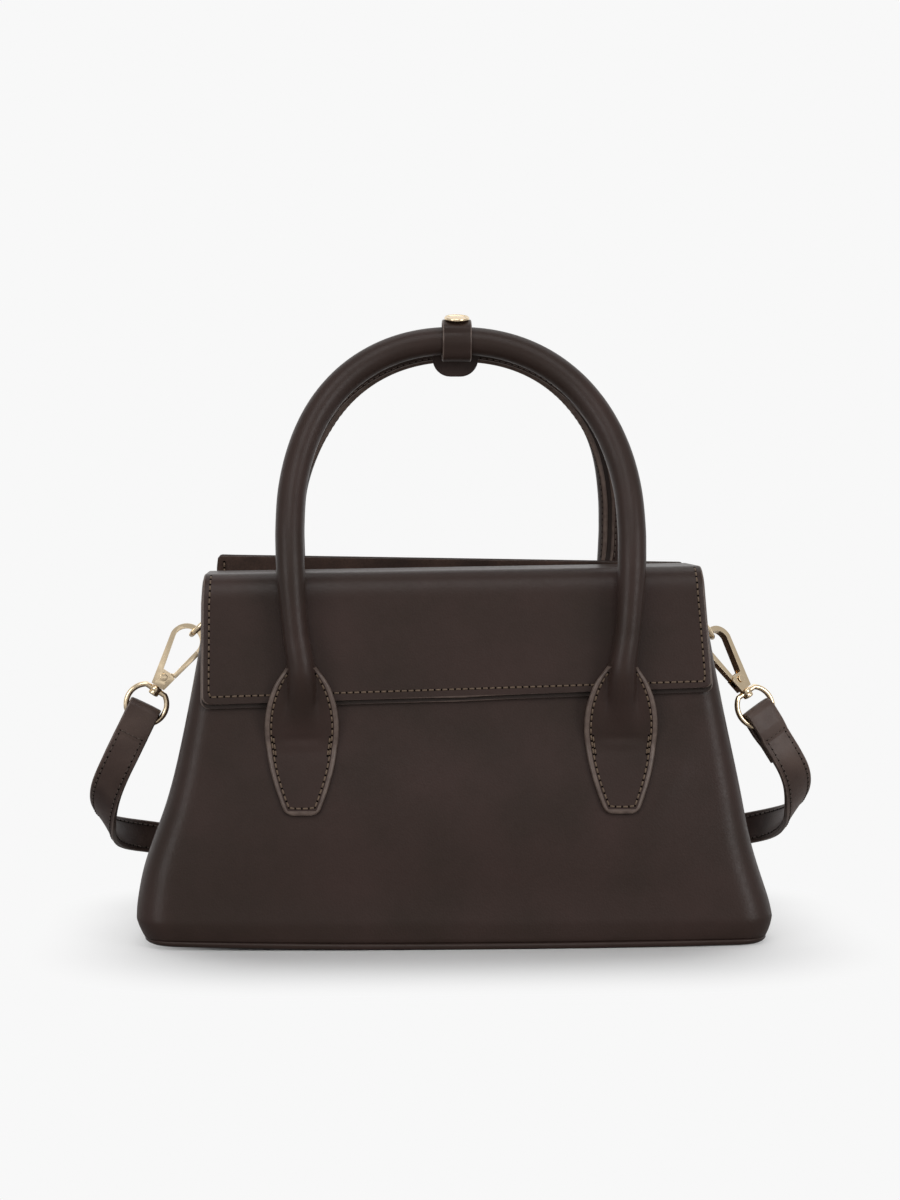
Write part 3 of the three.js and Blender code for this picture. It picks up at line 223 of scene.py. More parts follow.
def colour(name):
    """One of the bag's colours as linear RGBA."""
    return (*getattr(bpy.context.scene.bag_colours, name), 1.0)


def lerp(a, b, t):
    """Goes from a to b as t goes from 0 to 1."""
    return a + (b - a) * t


def smooth(t):
    """Rises from 0 to 1 with no slope at either end."""
    t = np.clip(t, 0, 1)
    return t * t * (3 - 2 * t)


def unit(v):
    """Vectors divided by their own length."""
    return v / np.linalg.norm(v, axis=-1, keepdims=True)


def spline(points, share):
    """A centripetal curve through points: each span is a cubic whose end slopes come from its neighbours."""
    points = np.asarray(points, float)
    p = np.vstack([2 * points[0] - points[1], points, 2 * points[-1] - points[-2]])
    at = np.asarray(share) * (len(points) - 1)
    i = np.minimum(at.astype(int), len(points) - 2)
    w = (at - i)[:, None]
    a, b, c, d = p[i], p[i + 1], p[i + 2], p[i + 3]
    gaps = [np.sqrt(np.linalg.norm(n - m, axis=1))[:, None] for m, n in ((a, b), (b, c), (c, d))]
    before, span, after = gaps
    first = ((b - a) / before - (c - a) / (before + span) + (c - b) / span) * span
    second = ((c - b) / span - (d - b) / (span + after) + (d - c) / after) * span
    square, cube = 3 * (c - b) - 2 * first - second, 2 * (b - c) + first + second
    return b + first * w + square * w ** 2 + cube * w ** 3


def summed(steps):
    """Running sum of steps that starts at 0."""
    return np.concatenate([[0], np.cumsum(steps)])


def halfway(values):
    """Means of neighbours along the first axis."""
    return (values[1:] + values[:-1]) / 2


def lengths(points):
    """Distance along a line of points, from its first point."""
    return summed(np.linalg.norm(np.diff(points, axis=0), axis=1))


def resample(points, step, extra=None):
    """The same line with points an even step apart; extra rows are carried along."""
    along = lengths(points)
    at = np.linspace(0, along[-1], max(int(round(along[-1] / step)), 2) + 1)
    pick = lambda rows: np.stack([np.interp(at, along, column) for column in rows.T], axis=1)
    return (pick(points), pick(extra)) if extra is not None else pick(points)


def ease(rows, kept, rounds):
    """Evens out rows in place by averaging neighbours, apart from the kept rows at each end."""
    for _ in range(rounds):
        rows[kept:-kept] = (rows[kept - 1:-kept - 1] + 2 * rows[kept:-kept] + rows[kept + 1:-kept + 1]) / 4


def piece(name, points, faces, materials, face_material=None):
    """A mesh object from points in millimetres, at the origin, smooth shaded, with its faces pointing out."""
    points = np.asarray(points, float)
    first, second, third, last = (points[[face[k] for face in faces]] for k in (0, 1, 2, -1))
    if np.sum(first * (np.cross(second, third) + np.cross(third, last))) < 0:
        faces = [face[::-1] for face in faces]
    mesh = bpy.data.meshes.new(name)
    mesh.from_pydata((points * MM).tolist(), [], faces)
    mesh.polygons.foreach_set("use_smooth", [len(face) <= 4 for face in faces])
    if face_material is not None:
        mesh.polygons.foreach_set("material_index", np.asarray(face_material, np.int32))
    for material in materials:
        mesh.materials.append(material)
    mesh.update()
    obj = bpy.data.objects.new(name, mesh)
    bpy.context.scene.collection.objects.link(obj)
    return obj


def grid_quads(index):
    """Quads between neighbours of a grid of point numbers."""
    return np.stack([index[:-1, :-1], index[:-1, 1:], index[1:, 1:], index[1:, :-1]], axis=-1).reshape(-1, 4)


def ring_quads(rows, count, closed=False):
    """Quads between rings that each close on themselves; closed also joins the last ring to the first."""
    index = np.arange(rows * count).reshape(rows, count)
    index = np.concatenate([index, index[:, :1]], axis=1)
    if closed:
        index = np.concatenate([index, index[:1]], axis=0)
    return grid_quads(index)


def tube(name, rings, materials, marks=None, closed=False):
    """A body through rings of points; its two ends are flat faces unless it closes on itself."""
    rows, count = rings.shape[:2]
    faces = ring_quads(rows, count, closed).tolist()
    marks = [0] * len(faces) if marks is None else marks.ravel().tolist()
    if not closed:
        faces.append(list(range(count))[::-1])
        faces.append(list(range((rows - 1) * count, rows * count)))
        marks += [marks[0], marks[-1]]
    return piece(name, rings.reshape(-1, 3), faces, materials, marks)


def sheet(name, outer, inner, materials, inner_material=0):
    """A sheet of leather: two grids and a half-round edge between their borders. The edge has material 1."""
    rows, columns = outer.shape[:2]
    index = np.arange(rows * columns).reshape(rows, columns)
    border = np.concatenate([index[0, :-1], index[:-1, -1], index[-1, :0:-1], index[:0:-1, 0]])
    inward = index[np.clip(np.arange(rows), 1, rows - 2)][:, np.clip(np.arange(columns), 1, columns - 2)]
    flat_outer, flat_inner = outer.reshape(-1, 3), inner.reshape(-1, 3)
    middle = (flat_outer[border] + flat_inner[border]) / 2
    half = (flat_outer[border] - flat_inner[border]) / 2
    thick = np.linalg.norm(half, axis=1, keepdims=True)
    away = flat_outer[border] - flat_outer[inward.ravel()[border]]
    away = unit(away - half * np.sum(away * half, axis=1, keepdims=True) / thick ** 2)
    turns = np.pi * np.arange(1, EDGE_STEPS + 1) / (EDGE_STEPS + 1)
    arcs = [middle + math.cos(t) * half + math.sin(t) * thick * away for t in turns]
    points = np.concatenate([flat_outer, flat_inner, *arcs])
    arc_index = 2 * index.size + np.arange(EDGE_STEPS * len(border)).reshape(EDGE_STEPS, -1)
    strip = np.vstack([border, arc_index, border + index.size])
    edge = grid_quads(np.concatenate([strip, strip[:, :1]], axis=1))[:, ::-1]
    face = grid_quads(index)
    faces = [face, face[:, ::-1] + index.size, edge]
    marks = [np.zeros(len(face), int), np.full(len(face), inner_material), np.ones(len(edge), int)]
    return piece(name, points, np.concatenate(faces).tolist(), materials, np.concatenate(marks))


def carried(line, first, second, section):
    """Rings of a flat section carried along a line with its two cross directions."""
    return line[:, None] + section[None, :, :1] * first[:, None] + section[None, :, 1:] * second[:, None]


def tangents(line, closed=False):
    """Direction of a line at each of its points, from the points on either side."""
    if closed:
        return unit(np.roll(line, -1, axis=0) - np.roll(line, 1, axis=0))
    return unit(np.gradient(line, axis=0))


def rounded_bar(half_width, half_thick, radius):
    """Outline of a flat bar with rounded corners."""
    turns = np.linspace(0, np.pi / 2, CORNER_STEPS + 1)
    quarter = radius * np.stack([np.cos(turns), np.sin(turns)], axis=1)
    arc = quarter + (half_width - radius, half_thick - radius)
    flips = [(1, 1), (-1, 1), (-1, -1), (1, -1)]
    return np.concatenate([arc[::1 if x * y > 0 else -1] * (x, y) for x, y in flips])


def circle(radius, sides):
    """Points evenly round a circle."""
    turns = np.linspace(0, 2 * np.pi, sides, endpoint=False)
    return radius * np.stack([np.cos(turns), np.sin(turns)], axis=1)


def lathe(name, profile, origin, axes, sides, materials):
    """A profile of radius and height turned about the third of three axes at an origin."""
    profile = np.asarray(profile, float)[:, None]
    axes = np.asarray(axes, float)
    rings = origin + profile[..., :1] * (circle(1, sides) @ axes[:2]) + profile[..., 1:] * axes[2]
    return tube(name, rings, materials)


def rounded_in(left, radius):
    """How far a round corner draws a side in where this much of it is left."""
    return radius - np.sqrt(np.maximum(radius ** 2 - np.maximum(radius - left, 0) ** 2, 0))


def place(obj, slot, body, *nodes):
    """Lets a piece ride on a body and hides the solids it stands for; the slot is not used."""
    if nodes:
        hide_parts(*nodes)
    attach(obj, body)


def place_bent(obj, slot, bodies, ends, *nodes):
    """Hides the solids a bent piece stands for and bakes its place into its mesh; it reads the two bodies and
    the first and second points, in metres, but does not follow them.
    """
    if nodes:
        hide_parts(*nodes)
    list(bodies)
    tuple(ends[0])
    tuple(ends[1])
    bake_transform(obj)


def add_node(tree, kind, inputs=None, **settings):
    """Adds one node with its settings; an input that is a socket is linked, any other is set."""
    node = tree.nodes.new(kind)
    for name, value in settings.items():
        setattr(node, name, value)
    for name, value in (inputs or {}).items():
        if isinstance(value, bpy.types.NodeSocket):
            tree.links.new(value, node.inputs[name])
        else:
            node.inputs[name].default_value = value
    return node


def drawn_once(draw):
    """Turns a drawing of nodes into a maker of materials: each name is drawn once, on object coordinates."""
    def make(name, *shades):
        """The material of this name, drawn on its first use."""
        material = bpy.data.materials.get(name)
        if material is None:
            material = bpy.data.materials.new(name)
            material.use_nodes = True
            tree = material.node_tree
            tree.nodes.clear()
            draw(tree, add_node(tree, "ShaderNodeTexCoord").outputs["Object"], *shades)
        return material

    return make


def per_metre(millimetres):
    """Scale of a pattern whose features are this many millimetres across."""
    return 1 / (millimetres * MM)


def finish_material(tree, base, roughness, height, strength, distance, **constants):
    """Closes a tree with a Principled shader whose bump, a distance in millimetres, follows the height."""
    bump = add_node(tree, "ShaderNodeBump",
                    {"Height": height, "Strength": strength, "Distance": distance * MM})
    inputs = {"Base Color": base, "Roughness": roughness, "Normal": bump.outputs[0]}
    inputs.update({name.replace("_", " "): value for name, value in constants.items()})
    shader = add_node(tree, "ShaderNodeBsdfPrincipled", inputs)
    add_node(tree, "ShaderNodeOutputMaterial", {"Surface": shader.outputs[0]})


@drawn_once
def calf_leather(tree, coords, dark, light):
    """Smooth drum-dyed calf leather: soft cloudy colour, fine pores and a satin wax finish."""
    clouds = add_node(tree, "ShaderNodeTexNoise", {"Vector": coords, "Scale": per_metre(38), "Detail": 3.0})
    pores = add_node(tree, "ShaderNodeTexVoronoi", {"Vector": coords, "Scale": per_metre(1.1)})
    grain = add_node(tree, "ShaderNodeTexNoise",
                     {"Vector": coords, "Scale": per_metre(2.4), "Detail": 5.0, "Roughness": 0.65})
    fine = add_node(tree, "ShaderNodeMath", {0: pores.outputs["Distance"], 1: grain.outputs[0]},
                    operation="ADD")
    share = add_node(tree, "ShaderNodeMapRange",
                     {"Value": clouds.outputs[0], "From Min": 0.35, "From Max": 0.7})
    base = add_node(tree, "ShaderNodeMix",
                    {"Factor": share.outputs[0], MIX_A: colour(dark), MIX_B: colour(light)}, data_type="RGBA")
    rough = add_node(tree, "ShaderNodeMapRange", {"Value": grain.outputs[0], "From Min": 0.3, "From Max": 0.7,
                                                  "To Min": 0.33, "To Max": 0.45})
    finish_material(tree, base.outputs[MIX_OUT], rough.outputs[0], fine.outputs[0], 0.26, 0.13,
                    Specular_IOR_Level=0.22)


@drawn_once
def flecked(tree, coords, grain, detail, shades, roughness, bump):
    """One noise, its grain in millimetres, mixes two shades, varies the roughness and raises the surface."""
    noise = add_node(tree, "ShaderNodeTexNoise",
                     {"Vector": coords, "Scale": per_metre(grain), "Detail": detail})
    grey, (dark, light), (low, high) = noise.outputs[0], map(colour, shades), roughness
    base = add_node(tree, "ShaderNodeMix", {"Factor": grey, MIX_A: dark, MIX_B: light}, data_type="RGBA")
    rough = add_node(tree, "ShaderNodeMapRange", {"Value": grey, "To Min": low, "To Max": high})
    finish_material(tree, base.outputs[MIX_OUT], rough.outputs[0], grey, *bump)


def edge_paint():
    """Edge paint: a thin lacquer on cut leather, slightly wavy; its light colour is partly the paint's own
    and partly a painted highlight where edges catch light.
    """
    return flecked("edge_paint_lacquer", 3.0, 3.0, ("leather_light", "edge_paint"), (0.3, 0.5), (0.15, 0.15))


def painted_groove_shade():
    """Dark, dull fibres as painted shade: they darken the groove of the handles' slits, and on the flap's
    lower margin they draw the shaded line between the cover's edge and the lining's edge.
    """
    return flecked("raw_cut_leather", 0.9, 6.0, ("groove_shade_and_dark_fibre", "leather"), (0.75, 0.95), (0.5, 0.3))


def fibre_board():
    """Grey fibre board: matt, with flecks of pulp."""
    return flecked("fibre_board", 1.5, 5.0, ("board", "thread"), (0.8, 0.95), (0.3, 0.2))


@drawn_once
def waxed_thread(tree, coords, shade):
    """Twisted polyester thread with a wax finish: fine plies, drawn coarse enough to show."""
    plies = add_node(tree, "ShaderNodeTexNoise", {"Vector": coords, "Scale": per_metre(0.5), "Detail": 2.0})
    share = add_node(tree, "ShaderNodeMapRange", {"Value": plies.outputs[0], "To Min": 0.5, "To Max": 1.0})
    base = add_node(tree, "ShaderNodeMix", {"Factor": share.outputs[0], MIX_A: colour("groove_shade_and_dark_fibre"),
                                            MIX_B: colour(shade)}, data_type="RGBA")
    finish_material(tree, base.outputs[MIX_OUT], 0.6, plies.outputs[0], 0.4, 0.15)


@drawn_once
def needle_hole(tree, _):
    """The shadow in a needle hole: almost black and quite dull."""
    shader = add_node(tree, "ShaderNodeBsdfPrincipled", {"Base Color": colour("hole"), "Roughness": 0.95,
                                                         "Specular IOR Level": 0.05})
    add_node(tree, "ShaderNodeOutputMaterial", {"Surface": shader.outputs[0]})


@drawn_once
def brushed_suede(tree, coords):
    """Split suede: short nap that catches light in brushed patches."""
    nap = add_node(tree, "ShaderNodeTexNoise", {"Vector": coords, "Scale": per_metre(0.9), "Detail": 6.0,
                                                "Roughness": 0.75})
    patches = add_node(tree, "ShaderNodeTexNoise", {"Vector": coords, "Scale": per_metre(14), "Detail": 3.0})
    both = add_node(tree, "ShaderNodeMath", {0: nap.outputs[0], 1: patches.outputs[0]}, operation="MULTIPLY")
    share = add_node(tree, "ShaderNodeMapRange",
                     {"Value": both.outputs[0], "From Min": 0.05, "From Max": 0.35})
    base = add_node(tree, "ShaderNodeMix", {"Factor": share.outputs[0], MIX_A: colour("groove_shade_and_dark_fibre"),
                                            MIX_B: colour("suede")}, data_type="RGBA")
    rough = add_node(tree, "ShaderNodeMapRange", {"Value": nap.outputs[0], "To Min": 0.85, "To Max": 1.0})
    finish_material(tree, base.outputs[MIX_OUT], rough.outputs[0], nap.outputs[0], 0.6, 0.35,
                    Sheen_Weight=0.25, Specular_IOR_Level=0.2)


@drawn_once
def plated_metal(tree, coords, shade, low, high):
    """Die-cast or stamped metal with a polished plating: faint waves and handling haze."""
    haze = add_node(tree, "ShaderNodeTexNoise", {"Vector": coords, "Scale": per_metre(2.5), "Detail": 4.0})
    rough = add_node(tree, "ShaderNodeMapRange", {"Value": haze.outputs[0], "From Min": 0.3, "From Max": 0.7,
                                                  "To Min": low, "To Max": high})
    finish_material(tree, colour(shade), rough.outputs[0], haze.outputs[0], 0.02, 0.1, Metallic=1.0)


@drawn_once
def studio_paper(tree, coords):
    """White studio paper: matt and shaded round the bag, plain white further off, dim where light bounces."""
    shaded_half = (0.085, 0.055, 9)
    matt = add_node(tree, "ShaderNodeBsdfDiffuse", {"Color": colour("floor")})
    dim = add_node(tree, "ShaderNodeBsdfDiffuse", {"Color": (0.5, 0.49, 0.48, 1)})
    glow = add_node(tree, "ShaderNodeEmission", {"Color": colour("floor"), "Strength": 1.0})
    reach = add_node(tree, "ShaderNodeVectorMath", {0: coords}, operation="ABSOLUTE")
    past = add_node(tree, "ShaderNodeVectorMath", {0: reach.outputs[0], 1: shaded_half}, operation="SUBTRACT")
    clear = add_node(tree, "ShaderNodeVectorMath", {0: past.outputs[0], 1: (0, 0, 0)}, operation="MAXIMUM")
    away = add_node(tree, "ShaderNodeVectorMath", {0: clear.outputs[0]}, operation="LENGTH").outputs["Value"]
    near = add_node(tree, "ShaderNodeMapRange", {"Value": away, "From Min": 0.01, "From Max": 0.115},
                    interpolation_type="SMOOTHSTEP")
    far = add_node(tree, "ShaderNodeMapRange", {"Value": away, "From Min": 0.9, "From Max": 1.3})
    seen = add_node(tree, "ShaderNodeMixShader", {0: near.outputs[0], 1: matt.outputs[0], 2: glow.outputs[0]})
    lit = add_node(tree, "ShaderNodeMixShader", {0: far.outputs[0], 1: dim.outputs[0], 2: glow.outputs[0]})
    camera_ray = add_node(tree, "ShaderNodeLightPath").outputs["Is Camera Ray"]
    mix = add_node(tree, "ShaderNodeMixShader", {0: camera_ray, 1: lit.outputs[0], 2: seen.outputs[0]})
    add_node(tree, "ShaderNodeOutputMaterial", {"Surface": mix.outputs[0]})


def leathers():
    """The two materials of a leather sheet: its face and its painted edge."""
    return [calf_leather("aniline_calf_leather", "leather", "leather_light"), edge_paint()]


def strap_leathers_painted_lighter():
    """The same for the strap, whose leather is painted lighter than the bag's: a painted light standing for
    the light the strap catches.
    """
    return [calf_leather("strap_leather", "leather_light", "strap"), edge_paint()]


def suede():
    """The suede of the lip and the linings."""
    return brushed_suede("split_suede")


def tan_thread():
    """Thread of the flap, the lip and the tabs."""
    return waxed_thread("tan_waxed_thread", "thread")


def dark_thread():
    """Thread of the strap and the handles' slits."""
    return waxed_thread("dark_waxed_thread", "strap_thread")


def pale_gold():
    """Plating of the hooks, rings and snap cap."""
    return plated_metal("pale_gold_plated_zinc", "gold", 0.12, 0.2)


# Shape of the body

def rise(z):
    """Share of the way from the rolled foot to the mouth."""
    return np.maximum((z - FOOT_ROLL) / (size("body_height") - FOOT_ROLL), 0)


def side_roll(z):
    """How far the ends of the body turn in towards the floor."""
    return SIDE_ROLL * (1 - np.sqrt(1 - np.clip(1 - z / SIDE_ROLL_HEIGHT, 0, 1) ** 2))


def front_roll(z):
    """How far the front and back turn in towards the floor at their ends."""
    return FRONT_ROLL * np.maximum(1 - z / FOOT_ROLL, 0) ** 1.8


def half_width(z):
    """Half of the body's width: it narrows to the mouth, dips on the way and rolls in at the foot."""
    u = rise(z)
    dip = 4 * SIDE_DIP * np.maximum(u * (1 - u), 0)
    return lerp(size("base_width"), size("top_width"), u) / 2 - dip - side_roll(z)


def half_depth(z):
    """Half of the body's depth, from its base depth to its top depth."""
    return lerp(size("base_depth"), size("top_depth"), rise(z)) / 2


def corner(z):
    """Radius of the body's upright corners, tighter where the ends roll in."""
    return lerp(BASE_CORNER, TOP_CORNER, np.minimum(rise(z), 1)) - 0.5 * side_roll(z)


def pleat(z, along):
    """The gusset's fold: deepest along its middle line, growing towards the mouth."""
    return GUSSET_PLEAT * np.minimum(rise(z), 1) * (1 - along ** 2)


def panel_lean():
    """How far the front and back panels lean in, as an angle."""
    fall = (size("base_depth") - size("top_depth")) / 2
    return math.atan(fall / (size("body_height") - FOOT_ROLL))


def belly(along, z):
    """How far the soft panel stands out: a low dome, a pull line beside the right tab and a full foot."""
    height = np.clip((z - BELLY_FOOT) / BELLY_HEIGHT, 0, 1)
    dome = size("belly") * np.sin(np.pi * height) ** 2
    x = along * (half_width(z) - corner(z))
    beside = (x - PULL_PLACE - PULL_SLOPE * (z - PULL_FOOT)) / PULL_WIDTH
    pull = PULL_OUT * np.exp(-beside ** 2 - ((z - PULL_HEIGHT) / PULL_REACH) ** 2)
    foot = FOOT_BELLY * np.maximum(1 - z / FOOT_BELLY_HEIGHT, 0) ** 1.5
    return (dome + pull) * (1 - along ** 4) + foot * (1 - along ** 2)


def slump(x, z):
    """The left side has sunk outwards, most just above the foot; the right side is drawn in there."""
    left, right = (smooth((side * x - SLUMP_START) / SLUMP_GROWS) for side in (-1, 1))
    out = (SLUMP_OUT + SLUMP_BULGE * np.exp(-((z - SLUMP_HEIGHT) / SLUMP_REACH) ** 2)) * left
    drawn = DRAWN_IN * np.exp(-((z - DRAWN_HEIGHT) / DRAWN_REACH) ** 2) * right
    return smooth((SLUMP_END - z) / SLUMP_FADE) * (out + drawn)


def foot_lift(x, z):
    """The soft base stands on its middle; its left end hangs a little clear of the floor, the right less."""
    end = np.where(x < 0, 1, FOOT_LIFT_RIGHT) * (x / FOOT_HALF) ** 2
    return FOOT_LIFT * end * np.maximum(1 - z / FOOT_LIFT_HEIGHT, 0)


def front_along(x, z):
    """Place across a panel's flat run, from -1 to 1."""
    return np.clip(x / (half_width(z) - corner(z)), -1, 1)


def wall(side, turn, along, z, inset):
    """Points of a wall: a flat run with half a corner arc at each end, set in from the outer face."""
    gusset = side in ("left", "right")
    depth = half_depth(z) - front_roll(z) * np.clip(along ** 2, 1 if gusset else FRONT_ROLL_SHARE, 1)
    half, reach = (depth, half_width(z)) if gusset else (half_width(z), depth)
    radius = corner(z)
    across = along * (half - radius) + np.sin(turn) * (radius - inset)
    out = reach - radius + np.cos(turn) * (radius - inset)
    out = out - pleat(z, along) if gusset else out + belly(along, z)
    if side == "front":
        from_magnet = across ** 2 + (z - size("body_height") + MAGNET_DROP) ** 2
        out = out + MAGNET_BUMP * np.exp(-(from_magnet / MAGNET_SPREAD ** 2) ** 2)
    z = np.broadcast_to(z, out.shape)
    places = {"front": (across, -out), "back": (-across, out),
              "right": (out, across), "left": (-out, -across)}
    x, y = places[side]
    return np.stack([x - slump(x, z), y, z + foot_lift(x, z)], axis=-1)


def wall_columns(flat, arc, reach):
    """Turn and place of each column across a wall."""
    turns = np.linspace(reach, 0, arc + 1)
    flats = np.linspace(-1, 1, flat + 1)[1:-1]
    turn = np.concatenate([-turns, np.zeros(flat - 1), turns[::-1]])
    along = np.concatenate([-np.ones(arc + 1), flats, np.ones(arc + 1)])
    return turn, along


def wall_ring(z, inset):
    """The whole section of the body at a height as one closed ring."""
    rows = []
    for side, flat in (("front", 36), ("right", 20), ("back", 36), ("left", 20)):
        turn, along = wall_columns(flat, 6, np.pi / 4)
        rows.append(wall(side, turn[:-1], along[:-1], np.full((1, 1), z), inset)[0])
    return np.concatenate(rows)


def wall_rows(foot, top, count):
    """Heights of a wall's rows, closer together on the rolled foot."""
    roll_end = 25
    roll, above = np.linspace(foot, roll_end, 16)[:-1], np.linspace(roll_end, top, count)
    return np.concatenate([roll, above])[:, None]


def wall_sheet(name, side, z, inset, thick, materials):
    """A wall as a sheet; the panels turn round most of each corner and the gussets meet them there."""
    flat, arc, reach = (34, 2, GUSSET_TURN) if side in ("left", "right") else (70, 8, PANEL_TURN)
    turn, along = wall_columns(flat, arc, reach)
    outer, inner = (wall(side, turn, along, z, depth) for depth in (inset, inset + thick))
    return sheet(name, outer, inner, materials)


def lip_shape(obj):
    """Unrolls the lip's corners into a flat free strip that falls from left to right and has rounded ends."""
    mesh = obj.data
    co = np.empty(len(mesh.vertices) * 3)
    mesh.vertices.foreach_get("co", co)
    x, y, z = (co.reshape(-1, 3) / MM).T
    low, top = size("body_height"), size("body_height") + LIP_RISE
    radius, side = corner(z), np.sign(x)
    flat_half, middle = half_width(z) - radius, half_depth(z) - radius
    upright = np.maximum(z - low, 0) * (size("base_width") - size("top_width")) / (low - FOOT_ROLL) / 2
    turn = np.arctan2(np.maximum(np.abs(x) - flat_half, 0), y - middle)
    reach = np.where(turn > 0, np.hypot(np.abs(x) - flat_half, y - middle), y - middle)
    free = smooth((z - low + 14) / 12)
    x = lerp(x, np.where(turn > 0, side * (flat_half + LIP_UNROLL * radius * turn), x), free)
    x = x + upright * x / lip_end()
    y = lerp(y, middle + reach, free)
    fall = np.clip((z - low) / (top - low), 0, None)
    end = np.clip((np.abs(x) - lip_end() + LIP_ROUND) / LIP_ROUND, 0, 1)
    across = x / size("top_width") + 0.5
    rim = lerp(size("lip_left"), size("lip_right"), across) - LIP_ROUND * (1 - np.sqrt(1 - end ** 2))
    z = z + fall * (rim - top)
    mesh.vertices.foreach_set("co", (np.stack([x, y, z], axis=1) * MM).ravel())
    mesh.update()


def lip_end():
    """Where the unrolled lip ends to either side."""
    return size("top_width") / 2 - TOP_CORNER + LIP_UNROLL * TOP_CORNER * PANEL_TURN + 0.5


# Stitches

def stitch_shape():
    """Unit stitch: five hexagons along x, thick in the middle and dipping at both ends."""
    along = np.array([-1, -0.8, 0, 0.8, 1])
    fat = np.array([0.35, 0.85, 1, 0.85, 0.35])
    lift = np.array([-0.9, -0.1, 0.25, -0.1, -0.9])
    ring = fat[:, None, None] * circle(1, 6) + np.stack([np.zeros(5), lift], axis=1)[:, None]
    points = np.concatenate([np.broadcast_to(along[:, None, None], (5, 6, 1)), ring], axis=2)
    return points.reshape(-1, 3), ring_quads(5, 6).tolist() + [list(range(6))[::-1], list(range(24, 30))]


def hole_shape():
    """Unit needle hole: a flat hexagonal plug whose third measure is its depth."""
    rim = circle(1, 6)
    points = np.concatenate([np.column_stack([rim, np.full(6, depth)]) for depth in (0, 1)])
    return points, [list(range(6)), list(range(11, 5, -1))] + ring_quads(2, 6)[:, [0, 3, 2, 1]].tolist()


def stitches(name, runs, thread, width=None):
    """Rows of stitches along runs of points and surface normals, with a dark needle hole between each two."""
    width = width or size("stitch_width")
    (bar, bar_faces), (plug, plug_faces) = stitch_shape(), hole_shape()
    lift, sink = 0.05, 0.35
    half_wide, half_high, hole_long, hole_wide = width / 2, width / 2.6, width * 0.72, width * 0.68
    points, faces, marks, start = [], [], [], 0
    for line, normals in runs:
        line, normals = resample(np.asarray(line, float), size("stitch_pitch"), np.asarray(normals, float))
        step = np.linalg.norm(np.diff(line, axis=0), axis=1)[:, None, None]
        ahead, up, out = unit(np.diff(line, axis=0)), unit(halfway(normals)), unit(normals)
        across = unit(np.cross(up, ahead))
        bars = (halfway(line)[:, None] + bar[:, :1] * ahead[:, None] * step * STITCH_SHARE / 2
                + bar[:, 1:2] * across[:, None] * half_wide + bar[:, 2:] * up[:, None] * half_high)
        ahead, across = (np.vstack([rows, rows[-1:]]) for rows in (ahead, across))
        holes = (line[:, None] + (lift - sink * plug[:, 2:]) * out[:, None]
                 + plug[:, :1] * ahead[:, None] * hole_long + plug[:, 1:2] * across[:, None] * hole_wide)
        for copies, shape, mark in ((bars, bar_faces, 0), (holes, plug_faces, 1)):
            first = start + np.arange(len(copies)) * copies.shape[1]
            faces += [[k + corner_point for corner_point in face] for k in first.tolist() for face in shape]
            marks += [mark] * (len(copies) * len(shape))
            points.append(copies.reshape(-1, 3))
            start += copies.shape[0] * copies.shape[1]
    return piece(name, np.concatenate(points), faces, [thread, needle_hole("needle_hole")], marks)


# Flap

def flap_roll():
    """The flap's roll as shares, forward and down: a turn that is quick at first and slows into the drop."""
    lean = panel_lean()
    share = np.linspace(0, 1, 1001)
    turn = (np.pi / 2 - lean) * (1 - (1 - share) ** 2)
    forward, down = (summed(halfway(rates)) for rates in (np.cos(turn), np.sin(turn)))
    scale = FLAP_ROLL * (math.cos(lean) - math.tan(lean) * (1 + math.sin(lean)))
    scale = scale / (forward[-1] - down[-1] * math.tan(lean))
    return share, forward * scale, down * scale


def hinge_line():
    """The y and z of the line that the flap is sewn to."""
    return size("top_depth") / 2 - HINGE_SETBACK, size("body_height") - HINGE_DROP


def flap_curve(t, share):
    """Underside of the flap as y and z: t is 1 at the end of the mouth, 2 of the roll and 3 of the front."""
    body = size("body_height")
    under = body + FLAP_RISE - FLAP_STACK - FLAP_SINK + FLAP_TILT * share
    hinge_y, hinge_z = hinge_line()
    front = lambda z: -(half_depth(z) + FLAP_CLEAR)
    places, forward, down = flap_roll()
    roll_y = front(under - down[-1]) + forward[-1]
    bend_end, most_sag = hinge_y - 12, 0.9
    bend = np.clip(t / FLAP_BEND, 0, 1)
    bend_y = (1 - bend) ** 2 * hinge_y + 2 * bend * (1 - bend) * (hinge_y - 1.5) + bend ** 2 * bend_end
    bend_z = (1 - bend) ** 2 * hinge_z + (2 * bend * (1 - bend) + bend ** 2) * under
    over = np.clip((t - FLAP_BEND) / (1 - FLAP_BEND), 0, 1)
    sag = most_sag * np.sin(np.pi * over) * (1 - share ** 2)
    top_y = np.where(t < FLAP_BEND, bend_y, lerp(bend_end, roll_y, over))
    top_z = np.where(t < FLAP_BEND, bend_z, under - sag)
    edge = body - lerp(FLAP_DROP_LEFT, FLAP_DROP_RIGHT, (share + 1) / 2)
    drop_z = lerp(under - down[-1], edge, np.clip(t - 2, 0, 1))
    roll = [np.interp(t - 1, places, rows) for rows in (forward, down)]
    y = np.where(t < 1, top_y, np.where(t < 2, roll_y - roll[0], front(drop_z)))
    z = np.where(t < 1, top_z, np.where(t < 2, under - roll[1], drop_z))
    return y, z


def flap_half(t, backing=0):
    """Half width of the flap along its length: it widens round the roll and ends in rounded lower corners."""
    over = lerp(FLAP_HINGE_HALF, FLAP_CROWN_HALF, smooth(t / FLAP_BEND))
    fall = np.clip(t - 2, 0, 1)
    widen = (FLAP_ROLL_HALF - FLAP_CROWN_HALF) * np.clip(t - 1, 0, 1)
    half = over + widen + (FLAP_EDGE_HALF - FLAP_ROLL_HALF) * fall + FLAP_SIDE_MARGIN * backing
    return half - rounded_in((1 - fall) * FLAP_FALL, FLAP_CORNER)


